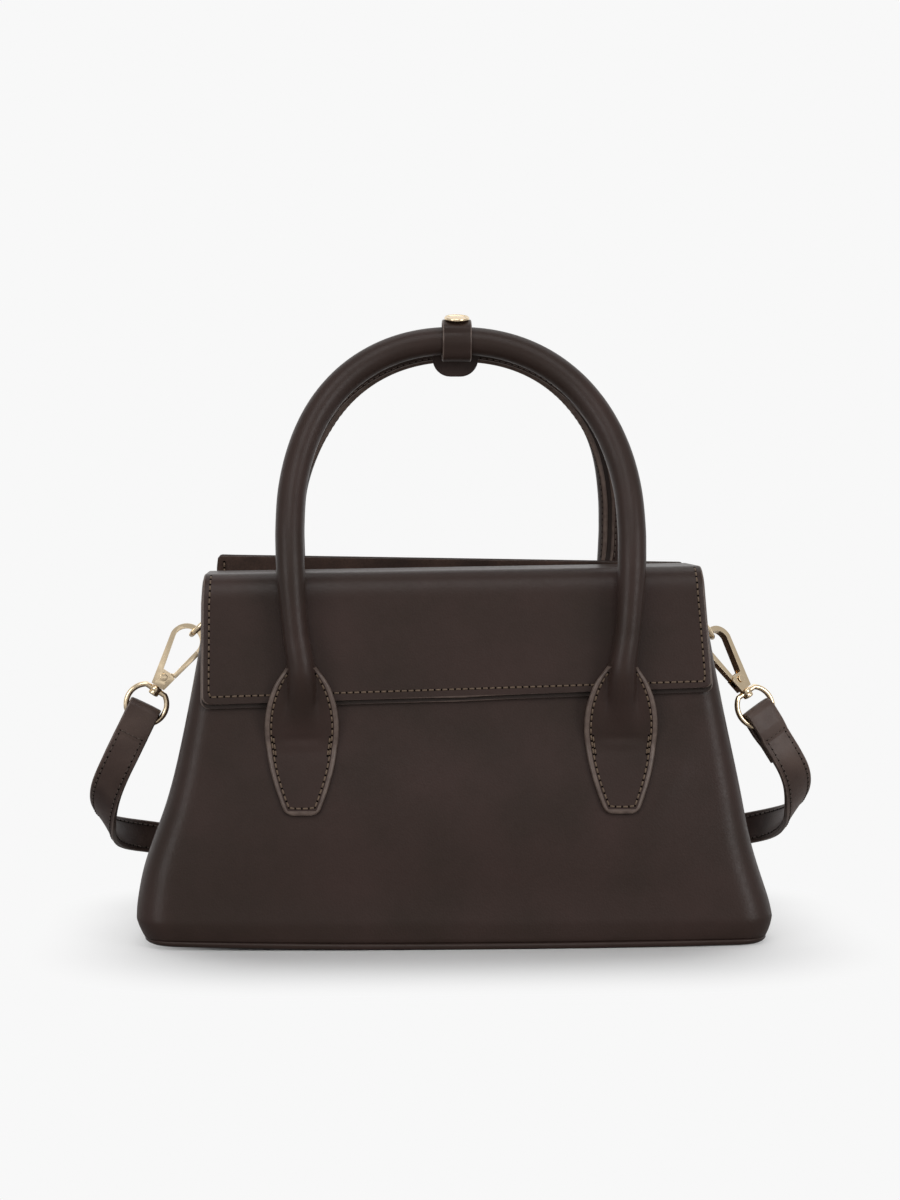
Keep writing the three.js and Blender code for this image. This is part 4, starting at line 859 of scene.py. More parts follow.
def flap_point(t, share, lift, backing=0):
    """A point of the flap, lifted off its underside along the normal; a backing reaches past the cover."""
    step = 0.004
    y0, z0 = flap_curve(np.clip(t - step, 0, 3), share)
    y1, z1 = flap_curve(np.clip(t + step, 0, 3), share)
    along = np.hypot(y1 - y0, z1 - z0)
    y, z = flap_curve(t, share)
    shift = lerp(FLAP_CROWN_SHIFT, FLAP_EDGE_SHIFT, np.clip(t - 2, 0, 1))
    x = shift + share * flap_half(t, backing)
    below = FLAP_LOW_MARGIN * backing * smooth(t - 2)
    return np.stack([x, y + (z1 - z0) / along * lift, z - (y1 - y0) / along * lift - below], axis=-1)


def flap_grid(lift, backing=0):
    """The flap's points at a lift: rows along its length, closer round its bends, and columns across."""
    corners = 3 - (1 - np.cos(np.linspace(0, np.pi / 2, 9)[::-1])) * FLAP_CORNER / FLAP_FALL
    runs = ((0, FLAP_BEND, 9), (FLAP_BEND, 1, 13), (1, 2, 22), (2, corners[0], 34))
    t = np.concatenate([np.linspace(*run)[:-1] for run in runs] + [corners])
    return flap_point(t[:, None], np.linspace(-1, 1, 81)[None, :], lift, backing)


# Handles

def head_lean(side):
    """Lean of a tab's loose upper half: the front ones stand out over the flap's lower edge."""
    lean = panel_lean()
    if side > 0:
        return -lean
    body = size("body_height")
    edge = body - max(FLAP_DROP_LEFT, FLAP_DROP_RIGHT)
    crease = body - TAB_CREASE_DROP
    stand = half_depth(edge) + FLAP_CLEAR + FLAP_STACK + TAB_FLAP_CLEAR - half_depth(crease) - SEAM
    return math.atan(stand / (edge - crease))


def tab_line(side, v):
    """Back face of a tab along its height v from the crease: y, z and the lean there."""
    step = 0.25
    fine = np.arange(-40, 60.01, step)
    lean = lerp(-panel_lean(), head_lean(side), smooth((fine + 4) / 8))
    crease = size("body_height") - TAB_CREASE_DROP
    zero = np.searchsorted(fine, 0)
    out, up = (summed(part(halfway(lean)) * step) for part in (np.sin, np.cos))
    y = side * (half_depth(crease) + SEAM + out - out[zero])
    z = crease + up - up[zero]
    return np.interp(v, fine, y), np.interp(v, fine, z), np.interp(v, fine, lean)


def bezier(points):
    """Cubic curve of four control points, as 40 points."""
    t = np.linspace(0, 1, 40)[:, None]
    a, b, c, d = np.asarray(points, float)
    return (1 - t) ** 3 * a + 3 * t * (1 - t) ** 2 * b + 3 * t ** 2 * (1 - t) * c + t ** 3 * d


def tab_half(v):
    """Half width of a tab: a leaf shape that ends in a short straight foot with small round corners."""
    foot, crease, radius = TAB_FOOT_WIDTH / 2, TAB_CREASE_WIDTH / 2, size("handle_radius")
    lower = bezier([(foot, -TAB_DROP), (foot + 3.7, 8.5 - TAB_DROP), (crease - 0.9, -11), (crease, 0)])
    upper = bezier([(crease, 0), (crease + 1.85, 10), (crease + 0.85, TAB_HEAD - 13), (radius, TAB_HEAD)])
    line = np.concatenate([lower, upper[1:], [(radius, TAB_HEAD + 40)]])
    return np.interp(v, line[:, 1], line[:, 0]) - rounded_in(np.maximum(v + TAB_DROP, 0), TAB_CORNER)


def tab_height(a, v):
    """Front face of a tab: flat leather from which the rolled tube rises, low and wide first, then round."""
    flat_reach, flat_power, round_power = 10.5, 2.0, 0.5
    groove, groove_place, groove_width = 0.45, 3.5, 1.1
    swell, swell_width, crease_half = 0.3, 1.8, 9
    peak = (NECK_HEIGHT - TAB_LEATHER) * smooth((v - 2) / 34)
    reach = lerp(flat_reach, size("handle_radius"), smooth((v - 4) / 20))
    power = lerp(flat_power, round_power, smooth((v - 6) / 20))
    dent = groove * np.exp(-((v - groove_place) / groove_width) ** 2)
    crease = (dent - swell * np.exp(-(v / swell_width) ** 2)) * np.exp(-(a / crease_half) ** 4)
    return TAB_LEATHER + peak * np.maximum(1 - (a / reach) ** 2, 0) ** power - crease


def tab_section(v):
    """Section of a tab at height v as rings of across and out: inner edge, front, outer edge, back."""
    v = v[:, None]
    edge = TAB_LEATHER / 2
    half = tab_half(v) - edge
    turn_in = np.linspace(-np.pi / 2, np.pi / 2, EDGE_IN)
    turn_out = np.linspace(np.pi / 2, -np.pi / 2, EDGE_OUT)
    inner = (-half - edge * np.cos(turn_in), tab_height(-half, v) / 2 * (1 + np.sin(turn_in)))
    across = np.linspace(-1, 1, FRONT + 2)[1:-1] * half
    front = (across, tab_height(across, v))
    outer = (half + edge * np.cos(turn_out), tab_height(half, v) / 2 * (1 + np.sin(turn_out)))
    back = (np.linspace(1, -1, BACK + 2)[1:-1] * half, np.zeros((len(v), BACK)))
    return tuple(np.concatenate(columns, axis=1) for columns in zip(inner, front, outer, back))


def tab_world(side, hand, v, a, b):
    """Places a tab's across and out distances on the bag; hand is -1 at the left and 1 at the right."""
    y, z, lean = tab_line(side, v)
    x = hand * (TAB_PLACE + a) + (LEFT_LEG_SHIFT if hand < 0 else 0)
    z_world = z[:, None] - np.sin(lean)[:, None] * b
    y_world = y[:, None] + side * np.cos(lean)[:, None] * b
    push = belly(front_along(x, z_world), z_world) * smooth((8 - v[:, None]) / 16)
    return np.stack([x, y_world + side * push, z_world], axis=-1)


def handle_curve(side):
    """Middle line of a handle from its left tab over the arch to its right tab, in even steps."""
    step, splay = 2.5, 0.01
    foot = size("body_height") + ARCH_FOOT_RISE
    top = foot + ARCH_RISE - (BACK_ARCH_DROP if side > 0 else 0)
    leg_out = FRONT_LEG_OUT if side < 0 else BACK_LEG_OUT
    v, out = np.array([12, 20, 30]), np.array([1.3, 2.2, 3.3])
    y, z, lean = tab_line(side, v)
    legs = np.stack([TAB_PLACE + splay * v, y + side * np.cos(lean) * out, z - np.sin(lean) * out], axis=1)
    up, inward = np.array([0.18, 0.42, 0.72, 0.9]), np.array([0.02, 0.16, 0.5, 0.82])
    neck = np.stack([lerp(TAB_PLACE, ARCH_HALF, np.sin(up * np.pi / 2)),
                     lerp(legs[-1, 1], side * leg_out, inward), lerp(legs[-1, 2], foot, up)], axis=1)
    turn = np.linspace(0, np.pi / 2, 10)[:-1]
    climb, across = np.sin(turn) ** (2 / ARCH_POWER), np.cos(turn) ** (2 / ARCH_POWER)
    arch = np.stack([ARCH_HALF * across, side * lerp(leg_out, ARCH_SPREAD, climb), lerp(foot, top, climb)], 1)
    right = np.concatenate([legs, neck, arch])
    line = np.concatenate([right * (-1, 1, 1), [(0, side * ARCH_SPREAD, top)], right[::-1]])
    line = spline(line, np.linspace(0, 1, 3000))
    line[:, 0] += LEFT_LEG_SHIFT * smooth(-line[:, 0] / 40) * smooth((foot + 72 - line[:, 2]) / 45)
    if side > 0:
        line[:, 0] += BACK_ARCH_SHIFT * smooth((line[:, 2] - foot - 15) / 40)
    line = resample(line, step)
    ease(line[:, 1], 7, 50)
    return line


def handle_frames(line, side):
    """Directions away from a tube's slit and across it; the slit turns from the arch's inside to the bag."""
    foot = size("body_height") + ARCH_FOOT_RISE
    ahead = tangents(line)
    inside = np.stack([-line[:, 0], np.zeros(len(line)), np.minimum(foot - line[:, 2], 0)], axis=1)
    inside = unit(inside - ahead * np.sum(inside * ahead, axis=1, keepdims=True))
    away, out = -inside, side * np.cross(ahead, inside)
    z = line[:, 2:]
    legs, crown = (105, 60) if side < 0 else (70, 15)
    turn = lerp(legs, crown, smooth((z - foot - 10) / 75)) * DEGREE * smooth((z - foot + 58) / 50)
    return np.cos(turn) * away + np.sin(turn) * out, np.cos(turn) * out - np.sin(turn) * away


def slit_open(line):
    """How far the slit is open along a handle: shut above the tabs, open from the lip upwards."""
    return smooth((line[:, 2] - size("body_height") - ARCH_FOOT_RISE + 24) / 14)


def tube_section(open_share):
    """Section of the rolled tube: a circle with two raised lips and a slit on the inside of the arch."""
    lip, edge = 30 * DEGREE, 20 * DEGREE
    inner = np.linspace(-lip, lip, EDGE_IN)
    radius = size("handle_radius")
    turns, radii = [0, 8.2, 13.6, 19.1, 24.5, 30], [4.2, 4.2, 4.5, 6.5, 6.75, 6.55]
    reach = lerp(radius, np.interp(np.abs(inner) / DEGREE, turns, radii), open_share)
    front = np.linspace(lip, np.pi - edge, FRONT + 2)[1:-1]
    outer = np.linspace(np.pi - edge, np.pi + edge, EDGE_OUT)
    back = np.linspace(np.pi + edge, 2 * np.pi - lip, BACK + 2)[1:-1]
    turn = np.concatenate([inner, front, outer, back])
    radii = np.concatenate([reach, np.full(FRONT + EDGE_OUT + BACK, radius)])
    return np.stack([-radii * np.cos(turn), radii * np.sin(turn)], axis=1)


def handle_rings(side):
    """Rings of a whole handle: left tab, rolled tube over the arch, right tab."""
    line = handle_curve(side)
    away, out = handle_frames(line, side)
    thinner, neck_rise, neck_span = 0.1, 8, 22
    neck = 1 - thinner * smooth((size("body_height") + neck_rise - line[:, 2]) / neck_span)
    section = np.stack([tube_section(share) for share in slit_open(line)]) * neck[:, None, None]
    rings = line[:, None] + section[..., :1] * away[:, None] + section[..., 1:] * out[:, None]
    along = lengths(line)
    tab_v = np.concatenate([-TAB_DROP + np.array([0, 0.2, 0.6, 1.2, 2.0, 3.0]), np.arange(-27.5, 52, 1.5)])
    a, b = tab_section(tab_v)
    thin = np.interp(tab_v, [-TAB_DROP, -TAB_DROP + 0.7, -TAB_DROP + 1.4], [0.5, 0.9, 1])[:, None]
    b = TAB_LEATHER / 2 + (b - TAB_LEATHER / 2) * thin
    merge_start, merge_span, line_start = 28, 24, 12
    share = smooth((tab_v - merge_start) / merge_span)[:, None, None]
    columns = rings.reshape(len(rings), -1).T
    at = lambda distance: np.stack([np.interp(distance, along, column) for column in columns], axis=1)
    pick = lambda distance: at(distance).reshape(-1, *rings.shape[1:])
    near = np.clip(tab_v - line_start, 0, None)
    left = lerp(tab_world(side, -1, tab_v, a, b), pick(near), share)
    right = lerp(tab_world(side, 1, tab_v, a, b), pick(along[-1] - near), share)
    keep = np.minimum(along, along[-1] - along) > tab_v[-1] - line_start + 1
    rings = np.concatenate([left, rings[keep], right[::-1]])
    return rings, len(tab_v), slit_open(rings.mean(axis=1)) > 0.3


def handle_marks(rows, tab_rows, slit):
    """Materials of a handle's faces: painted edges on the tabs; on the tube's slit, edge paint on the lips,
    widened as a painted highlight, and a dark painted shade in the groove.
    """
    painted, groove_shade = 1, 2
    neck_rows, foot_rows = 10, 4
    marks = np.zeros((rows - 1, EDGE_IN + FRONT + EDGE_OUT + BACK), int)
    tabs = np.zeros(rows - 1, bool)
    tabs[:tab_rows - neck_rows] = True
    tabs[rows - 1 - tab_rows + neck_rows:] = True
    marks[tabs, :EDGE_IN] = painted
    marks[tabs, EDGE_IN + FRONT - 1:EDGE_IN + FRONT + EDGE_OUT - 1] = painted
    marks[:foot_rows] = marks[-foot_rows:] = painted
    # The slit's lips take edge paint over a wide strip: partly real paint, partly a painted highlight where
    # the lips catch light
    marks[slit[1:], 1:EDGE_IN - 2] = painted
    # The middle of the slit takes the dark colour: painted shade in the groove
    marks[slit[1:], 3:EDGE_IN - 4] = groove_shade
    return marks


def tab_stitch_runs(side):
    """Stitch lines round both tabs, and a short tack beside each line at the crease."""
    head, foot = 34, 3.2 - TAB_DROP
    v = np.concatenate([np.linspace(head, foot, 90), np.full(12, foot), np.linspace(foot, head, 90)])
    half = tab_half(v) - TAB_STITCH_INSET
    across = np.concatenate([-half[:90], np.linspace(-half[89], half[89], 14)[1:-1], half[-90:]])
    tack = np.linspace(-4.6, 4.6, 9)
    tack_half = tab_half(tack) - TAB_STITCH_INSET - 0.9
    rows = [(v, across, tab_height(across, v))]
    rows += [(tack, mark * tack_half, np.full(9, TAB_LEATHER + 0.1)) for mark in (-1, 1)]
    runs = []
    for hand in (-1, 1):
        for v, a, b in rows:
            line, above = (tab_world(side, hand, v, a[:, None], (b + lift)[:, None])[:, 0] for lift in (0, 1))
            runs.append((line, unit(above - line)))
    return runs


def slit_stitch_runs(side):
    """Stitch lines along both lips of the tube's slit."""
    line = handle_curve(side)
    away, out = handle_frames(line, side)
    keep = slit_open(line) > 0.6
    runs = []
    for mark in (-1, 1):
        turn = mark * 31 * DEGREE
        normal = -math.cos(turn) * away + math.sin(turn) * out
        runs.append((line[keep] + normal[keep] * (size("handle_radius") + 0.1), normal[keep]))
    return runs


# Clips

def gusset_face(z):
    """Where the middle line of a gusset lies to either side."""
    return half_width(z) - pleat(z, np.zeros_like(z))


def ring_height():
    """Height of the side rings' bars."""
    return size("body_height") - RING_DROP


def ring_out():
    """Where the side rings' bars lie to either side."""
    return gusset_face(ring_height()) + CHAPE_STAND + CHAPE_LEATHER + SEAM + WIRE_RADIUS


def clip_frame(name):
    """Origin and axes of a side's hook: x across the strap, y through it, z up the hook's axis."""
    hang = HANGS[name]
    sign = hang["sign"]
    origin = np.array([sign * (ring_out() + RING_REACH * math.sin(hang["ring"])), 0,
                       ring_height() - RING_REACH * math.cos(hang["ring"])])
    turn = -sign * hang["hook"]
    x = np.array([math.cos(turn), 0, -math.sin(turn)])
    y = np.array([0.0, 1, 0])
    z = np.array([math.sin(turn), 0, math.cos(turn)])
    sine, cosine = math.sin(hang["eye"]), math.cos(hang["eye"])
    return origin, np.array([cosine * x + sine * y, -sine * x + cosine * y, z])


def set_on(frame_axes, flat, depth=0):
    """Points of a flat drawing, across and up, set on an origin and axes at a depth."""
    origin, axes = frame_axes
    flat = np.asarray(flat, float)
    return origin + np.stack([flat[:, 0], np.zeros(len(flat)) + depth, flat[:, 1]], axis=1) @ axes


def eye_middle():
    """Height of the eye's middle on the hook's axis."""
    return -HOOK_SEAT - (COLLAR_LENGTH / 2 + EYE_CHORD - 0.2)


def fold_frame(name):
    """Origin and axes of a strap end: it has slid a little round the eye, towards the plumb line."""
    origin, (x, y, z) = clip_frame(name)
    turn = HANGS[name]["sign"] * HANGS[name]["fold"]
    axes = np.array([math.cos(turn) * x - math.sin(turn) * z, y, math.cos(turn) * z + math.sin(turn) * x])
    return origin + eye_middle() * z, axes


# Strap

def strap_section():
    """Section of the strap: two layers with rounded corners and a fine groove between them at each edge."""
    half, thick = size("strap_width") / 2, STRAP_LEATHER / 2
    quarter = [(half - 0.16, 0.0), (half, 0.22), (half, thick - 0.5), (half - 0.2, thick - 0.14),
               (half - 0.7, thick), (half * 0.6, thick + 0.12), (half * 0.3, thick + 0.16)]
    right = np.array([(x, -y) for x, y in quarter[:0:-1]] + quarter)
    return np.concatenate([right, -right])


def strap_line():
    """The strap's middle line from the left fold to the right fold, with its upper edge direction."""
    ends = {}
    for name, sign in (("left", -1), ("right", 1)):
        down = [(0, -s) for s in (STRAP_START, 21, STRAP_FOLD, STRAP_FOLD + 6)]
        points = set_on(fold_frame(name), down, -FOLD_LAYER)
        ends[name] = points, np.repeat(fold_frame(name)[1][:1] * sign, 4, axis=0)
    route = np.array(LEFT_ROUTE + HANK_ROUTE + RIGHT_ROUTE, float)
    lean = route[:, 3] * DEGREE
    edge = np.stack([-np.sin(lean), np.zeros(len(lean)), np.cos(lean)], axis=1)
    points = np.concatenate([ends["left"][0], route[:, :3], ends["right"][0][::-1]])
    edges = np.concatenate([ends["left"][1], edge, ends["right"][1]])
    share = np.linspace(0, 1, 4000)
    places = np.linspace(0, 1, len(points))
    edge_line = np.stack([np.interp(share, places, column) for column in edges.T], axis=1)
    line, edge_line = resample(spline(points, share), 2.5, edge_line)
    for rows in (line, edge_line):
        ease(rows, 3, 14)
    ahead = tangents(line)
    edge_line = unit(edge_line - ahead * np.sum(edge_line * ahead, axis=1, keepdims=True))
    return line, edge_line, np.cross(ahead, edge_line)


def strap_rings(line, edge, face):
    """The strap's section carried along its line, a hair thicker where it covers a fold's front layer."""
    along = lengths(line)
    past, fade, wider, thicker = 4, 3, 0.012, 0.12
    cover = smooth((STRAP_FOLD - STRAP_START + past - np.minimum(along, along[-1] - along)) / fade)[:, None]
    return carried(line, edge * (1 + wider * cover), face * (1 + thicker * cover), strap_section())


def strap_stitch_runs(line, edge, face, part):
    """Stitch lines along both edges and both faces of the strap; none between the layers of a fold."""
    inset = size("strap_width") / 2 - STRAP_STITCH_INSET
    skin = STRAP_LEATHER / 2 + 0.2
    along = lengths(line)
    clear = np.minimum(along, along[-1] - along) > STRAP_FOLD - STRAP_START
    half = np.zeros(len(line), bool)
    half[part] = True
    keep = {-1: half, 1: half & clear}
    return [((line + a * inset * edge + b * skin * face)[keep[b]], b * face[keep[b]])
            for a in (-1, 1) for b in (-1, 1)]


def fold_line():
    """The strap's end in the plane of its thickness: up behind, over the eye, down in front, as y and s."""
    bore, middle = WIRE_RADIUS + 0.4, 3.6
    fold = bore + STRAP_LEATHER * 0.4
    turn = np.linspace(0, np.pi, 17)
    back = [(FOLD_LAYER, STRAP_FOLD), (FOLD_LAYER, 22), (FOLD_LAYER + 0.05, 18), (fold - 0.5, 14.5),
            (fold, 11.5), (fold, 8), (fold, 5)]
    top = np.stack([fold * np.cos(turn), middle - fold * np.sin(turn)], axis=1)
    front = [(-y, s) for y, s in back[:1:-1]]
    return resample(np.array(back + top.tolist() + front), 0.7)


class BagOperator:
    """What every step of the bag shares."""

    bl_options = {"REGISTER", "UNDO"}

    def execute(self, context):
        """Builds the step's pieces."""
        self.build()
        return {"FINISHED"}


class BAG_OT_stage(BagOperator, bpy.types.Operator):
    """Set the pale floor, the soft lights and the camera"""

    bl_idname = "bag.stage"
    bl_label = "Stage and camera"

    def build(self):
        """Camera, floor and lights."""
        self.camera()
        self.floor()
        self.light()

    def camera(self):
        """A long lens a little to the left and above the handles' middle, looking slightly down."""
        focal_pixels, image_height, sensor = 2640, 1200, 36
        pixels_down, pixels_right = 113, 5.5
        distance, height, side = 1.25, 0.21, 3.0 * DEGREE
        camera = bpy.data.objects.new("camera", bpy.data.cameras.new("camera"))
        camera.data.sensor_fit = "VERTICAL"
        camera.data.sensor_height = sensor
        camera.data.lens = focal_pixels / image_height * sensor
        camera.location = (-distance * math.sin(side), -distance * math.cos(side), height)
        pitch = math.atan(pixels_down / focal_pixels)
        yaw = side - math.atan(pixels_right / focal_pixels)
        camera.rotation_euler = (math.pi / 2 - pitch, 0, -yaw)
        bpy.context.scene.collection.objects.link(camera)
        bpy.context.scene.camera = camera

    def floor(self):
        """A wide floor that turns up far behind into a backdrop, as a profile carried across x."""
        near, far, bend, top, half = -4000, 1800, 600, 5000, 5000
        arc = [(far + bend * math.sin(t), bend - bend * math.cos(t)) for t in np.linspace(0, np.pi / 2, 13)]
        profile = [(near, 0), *arc, (far + bend, top)]
        points = [(x, y, z) for y, z in profile for x in (-half, half)]
        index = np.arange(len(points)).reshape(-1, 2)
        floor = piece("floor", points, grid_quads(index).tolist(), [studio_paper("studio_paper")])

    def light(self):
        """Four broad suns and a dim surround, brighter in mirrors and white to the camera."""
        scene = bpy.context.scene
        scene.view_settings.view_transform = "Standard"
        world = bpy.data.worlds.new("studio")
        world.use_nodes = True
        tree = world.node_tree
        tree.nodes.clear()
        ray = add_node(tree, "ShaderNodeLightPath").outputs
        white = colour("floor")
        dim, bright, seen = (
            add_node(tree, "ShaderNodeBackground", {"Color": white, "Strength": strength}).outputs[0]
            for strength in (0.1, 0.5, 1.0))
        lit = add_node(tree, "ShaderNodeMixShader", {0: ray["Is Glossy Ray"], 1: dim, 2: bright})
        mix = add_node(tree, "ShaderNodeMixShader", {0: ray["Is Camera Ray"], 1: lit.outputs[0], 2: seen})
        add_node(tree, "ShaderNodeOutputWorld", {"Surface": mix.outputs[0]})
        scene.world = world
        for name, (x, y, z), strength, spread in LAMPS:
            lamp = bpy.data.objects.new(name, bpy.data.lights.new(name, "SUN"))
            lamp.data.energy = strength
            lamp.data.angle = spread * DEGREE
            lamp.location = (x, y, z)
            lamp.rotation_euler = (math.atan2(math.hypot(x, y), z), 0, math.atan2(y, x) + math.pi / 2)
            scene.collection.objects.link(lamp)


class BAG_OT_strap(BagOperator, bpy.types.Operator):
    """Lay the shoulder strap from hook to hook, folded behind the bag"""

    bl_idname = "bag.strap"
    bl_label = "Shoulder strap"

    def build(self):
        """Two halves that meet in the folded length, each with its stitches and its folded end."""
        line, edge, face = strap_line()
        rings, along = strap_rings(line, edge, face), lengths(line)
        half = int(np.searchsorted(along, along[-1] / 2))
        halves = (("left", slice(0, half + 1), 1, ("strap_left", "strap_hank")),
                  ("right", slice(half, len(line)), -1, ("strap_right",)))
        for name, part, order, nodes in halves:
            strap = tube(f"{name}_strap", rings[part], strap_leathers_painted_lighter(), self.edge_marks(len(line[part])))
            runs = strap_stitch_runs(line, edge, face, part)
            sewing = stitches(f"{name}_strap_stitches", runs, dark_thread(), STRAP_STITCH)
            place_bent(strap, "leather", ("bag", f"{name}_clip"), STRAP_BENDS[name], *nodes)
            place_bent(sewing, "leather", ("bag", f"{name}_clip"), STRAP_BENDS[name])
            path = line[part][::order]
            float(lengths(path)[-1] * MM)
            size("strap_width") * MM
            self.end(name)

    def edge_marks(self, rows):
        """The painted edge lies on the strap's two narrow sides."""
        one_side = np.zeros(len(strap_section()) // 2, int)
        one_side[2:10] = 1
        return np.tile(one_side, (rows - 1, 2))

    def end(self, name):
        """The strap's end, folded over the eye and sewn to itself."""
        flat, fold_at = fold_line(), fold_frame(name)
        line = set_on(fold_at, flat[:, 1:] * (0, -1), flat[:, 0])
        side_axis, face_axis = fold_at[1][:1], fold_at[1][1:2]
        across = np.repeat(side_axis * HANGS[name]["sign"], len(line), axis=0)
        rings = carried(line, across, np.cross(tangents(line), across), strap_section())
        fold = tube(f"{name}_strap_fold", rings, strap_leathers_painted_lighter(), self.edge_marks(len(line)))
        inset = size("strap_width") / 2 - STRAP_STITCH_INSET
        low, high = STRAP_FOLD - 1, 16.0
        box = [(-inset, low), (-inset, high), (inset, high), (inset, low)]
        runs = []
        for side, corners in ((-1, box[1:3]), (1, box)):
            row = resample(np.array(corners), 0.5)
            lift = np.interp(row[:, 1], [14.5, 18, 22], [2.16, 1.3, 1.25]) + STRAP_LEATHER / 2 + 0.1
            normals = np.repeat(side * face_axis, len(row), axis=0)
            runs.append((set_on(fold_at, row * (1, -1), side * lift), normals))
        sewing = stitches(f"{name}_fold_stitches", runs, dark_thread(), STRAP_STITCH)
        place(fold, "leather", f"{name}_clip", f"{name}_strap_end")
        place(sewing, "leather", f"{name}_clip")


class BAG_OT_walls(BagOperator, bpy.types.Operator):
    """Make the four soft walls, the base and the lip"""

    bl_idname = "bag.walls"
    bl_label = "Walls and base"

    def build(self):
        """The walls with the lip on the back, the base, the suede behind the lip and its stitches."""
        body = size("body_height")
        foot, facing_rise = BASE_SHEET + 0.8, 11.3
        walls = (("front", "front_panel", body), ("back", "back_panel", body + LIP_RISE),
                 ("left", "left_gusset", body - GUSSET_DROP), ("right", "right_gusset", body - GUSSET_DROP))
        for side, node, top in walls:
            z = wall_rows(foot, top, 48)
            leather = wall_sheet(f"{node}_leather", side, z, 0, PANEL_LEATHER, leathers()[:1] * 2)
            if side == "back":
                lip_shape(leather)
            place(leather, "leather", "bag", node)
        self.base()
        z = np.linspace(body - FACING_LAP, body + facing_rise, 14)[:, None]
        facing = wall_sheet("lip_suede", "back", z, LINING_INSET, LINING_LEATHER, [suede()] * 2)
        lip_shape(facing)
        place(facing, "suede", "bag", "lip_facing")
        self.lip_stitches()

    def base(self):
        """The base sheet: rings (heights, insets) from its upper rim round the foot to its underside."""
        rows = [(BASE_SHEET, 8.0), (BASE_SHEET, 0.8), (BASE_SHEET - 0.25, -0.2), (BASE_SHEET - 0.8, -0.6),
                (1.6, -0.75), (0.8, -0.6), (0.25, -0.2), (0.0, 0.8), (0.0, 3.5)]
        rings = np.array([wall_ring(z, inset) for z, inset in rows])
        place(tube("base_leather", rings, leathers()), "leather", "bag", "base_sheet")

    def lip_stitches(self):
        """A stitch line just under the lip's upper edge on the back, and an upright one at its left end."""
        body, lean = size("body_height"), panel_lean()
        along = np.linspace(-0.99, 0.99, 160)
        back = wall("back", np.zeros(160), along, np.full((1, 1), body + 8), 0)[0]
        back[:, 2] = lerp(size("lip_right"), size("lip_left"), (along + 1) / 2) - 3.2
        back[:, 1] = half_depth(back[:, 2]) + 0.05
        z = np.linspace(body + 1, size("lip_left") - 2.5, 8)
        y = half_depth(z) - LINING_INSET - LINING_LEATHER - 0.1
        upright = np.stack([np.full(8, 3.4 - lip_end()), y, z], axis=1)
        runs = [(back, np.tile([0, math.cos(lean), math.sin(lean)], (160, 1))),
                (upright, np.tile([0, -1, 0], (8, 1)))]
        place(stitches("lip_stitches", runs, tan_thread()), "leather", "bag")


class BAG_OT_lining(BagOperator, bpy.types.Operator):
    """Make the suede lining and the strip that holds the flap"""

    bl_idname = "bag.lining"
    bl_label = "Lining"

    def build(self):
        """A cup of rings, up its outside and down its inside, and the strip."""
        under = BASE_SHEET + SEAM + BASE_BOARD + SEAM
        floor, top = under + LINING_LEATHER, size("body_height") - LINING_DROP
        heights = [floor + 1, floor + 3, *np.linspace(FOOT_ROLL, top, 24)]
        outer = [wall_ring(z, LINING_INSET) for z in [under, *heights]]
        inner = [wall_ring(z, LINING_INSET + LINING_LEATHER) for z in [*heights[::-1], floor]]
        place(tube("suede_lining_cup", np.array(outer + inner), [suede()]), "suede", "bag", "suede_lining")
        self.hinge_strip()

    def hinge_strip(self):
        """The strip runs up the lining's back wall and bends forward to the flap's hinge line."""
        body, (hinge_y, hinge_z) = size("body_height"), hinge_line()
        bend, skin = body - LINING_DROP, 0.1
        wall_y = lambda z: half_depth(z) - LINING_INSET - LINING_LEATHER - SEAM
        t = np.linspace(0, 1, 13)[:, None]
        y = wall_y(bend)
        a, b, c = np.array([(y, bend), (y, hinge_z - 2), (hinge_y + SEAM, hinge_z - SEAM)])
        curve = (1 - t) ** 2 * a + 2 * t * (1 - t) * b + t ** 2 * c
        z = np.linspace(body - HINGE_STRIP_DROP, bend, 8)[:-1]
        line = np.concatenate([np.stack([wall_y(z), z], axis=1), curve])
        aside = tangents(line)[:, ::-1] * (-1, 1)
        x = np.linspace(-FLAP_HINGE_HALF, FLAP_HINGE_HALF, 40)
        rows = [line + aside * depth for depth in (skin, HINGE_STRIP - skin)]
        outer, inner = (np.stack(np.broadcast_arrays(x, r[:, :1], r[:, 1:]), axis=-1) for r in rows)
        place(sheet("hinge_strip_leather", outer, inner, leathers()), "leather", "bag", "flap_hinge_strip")


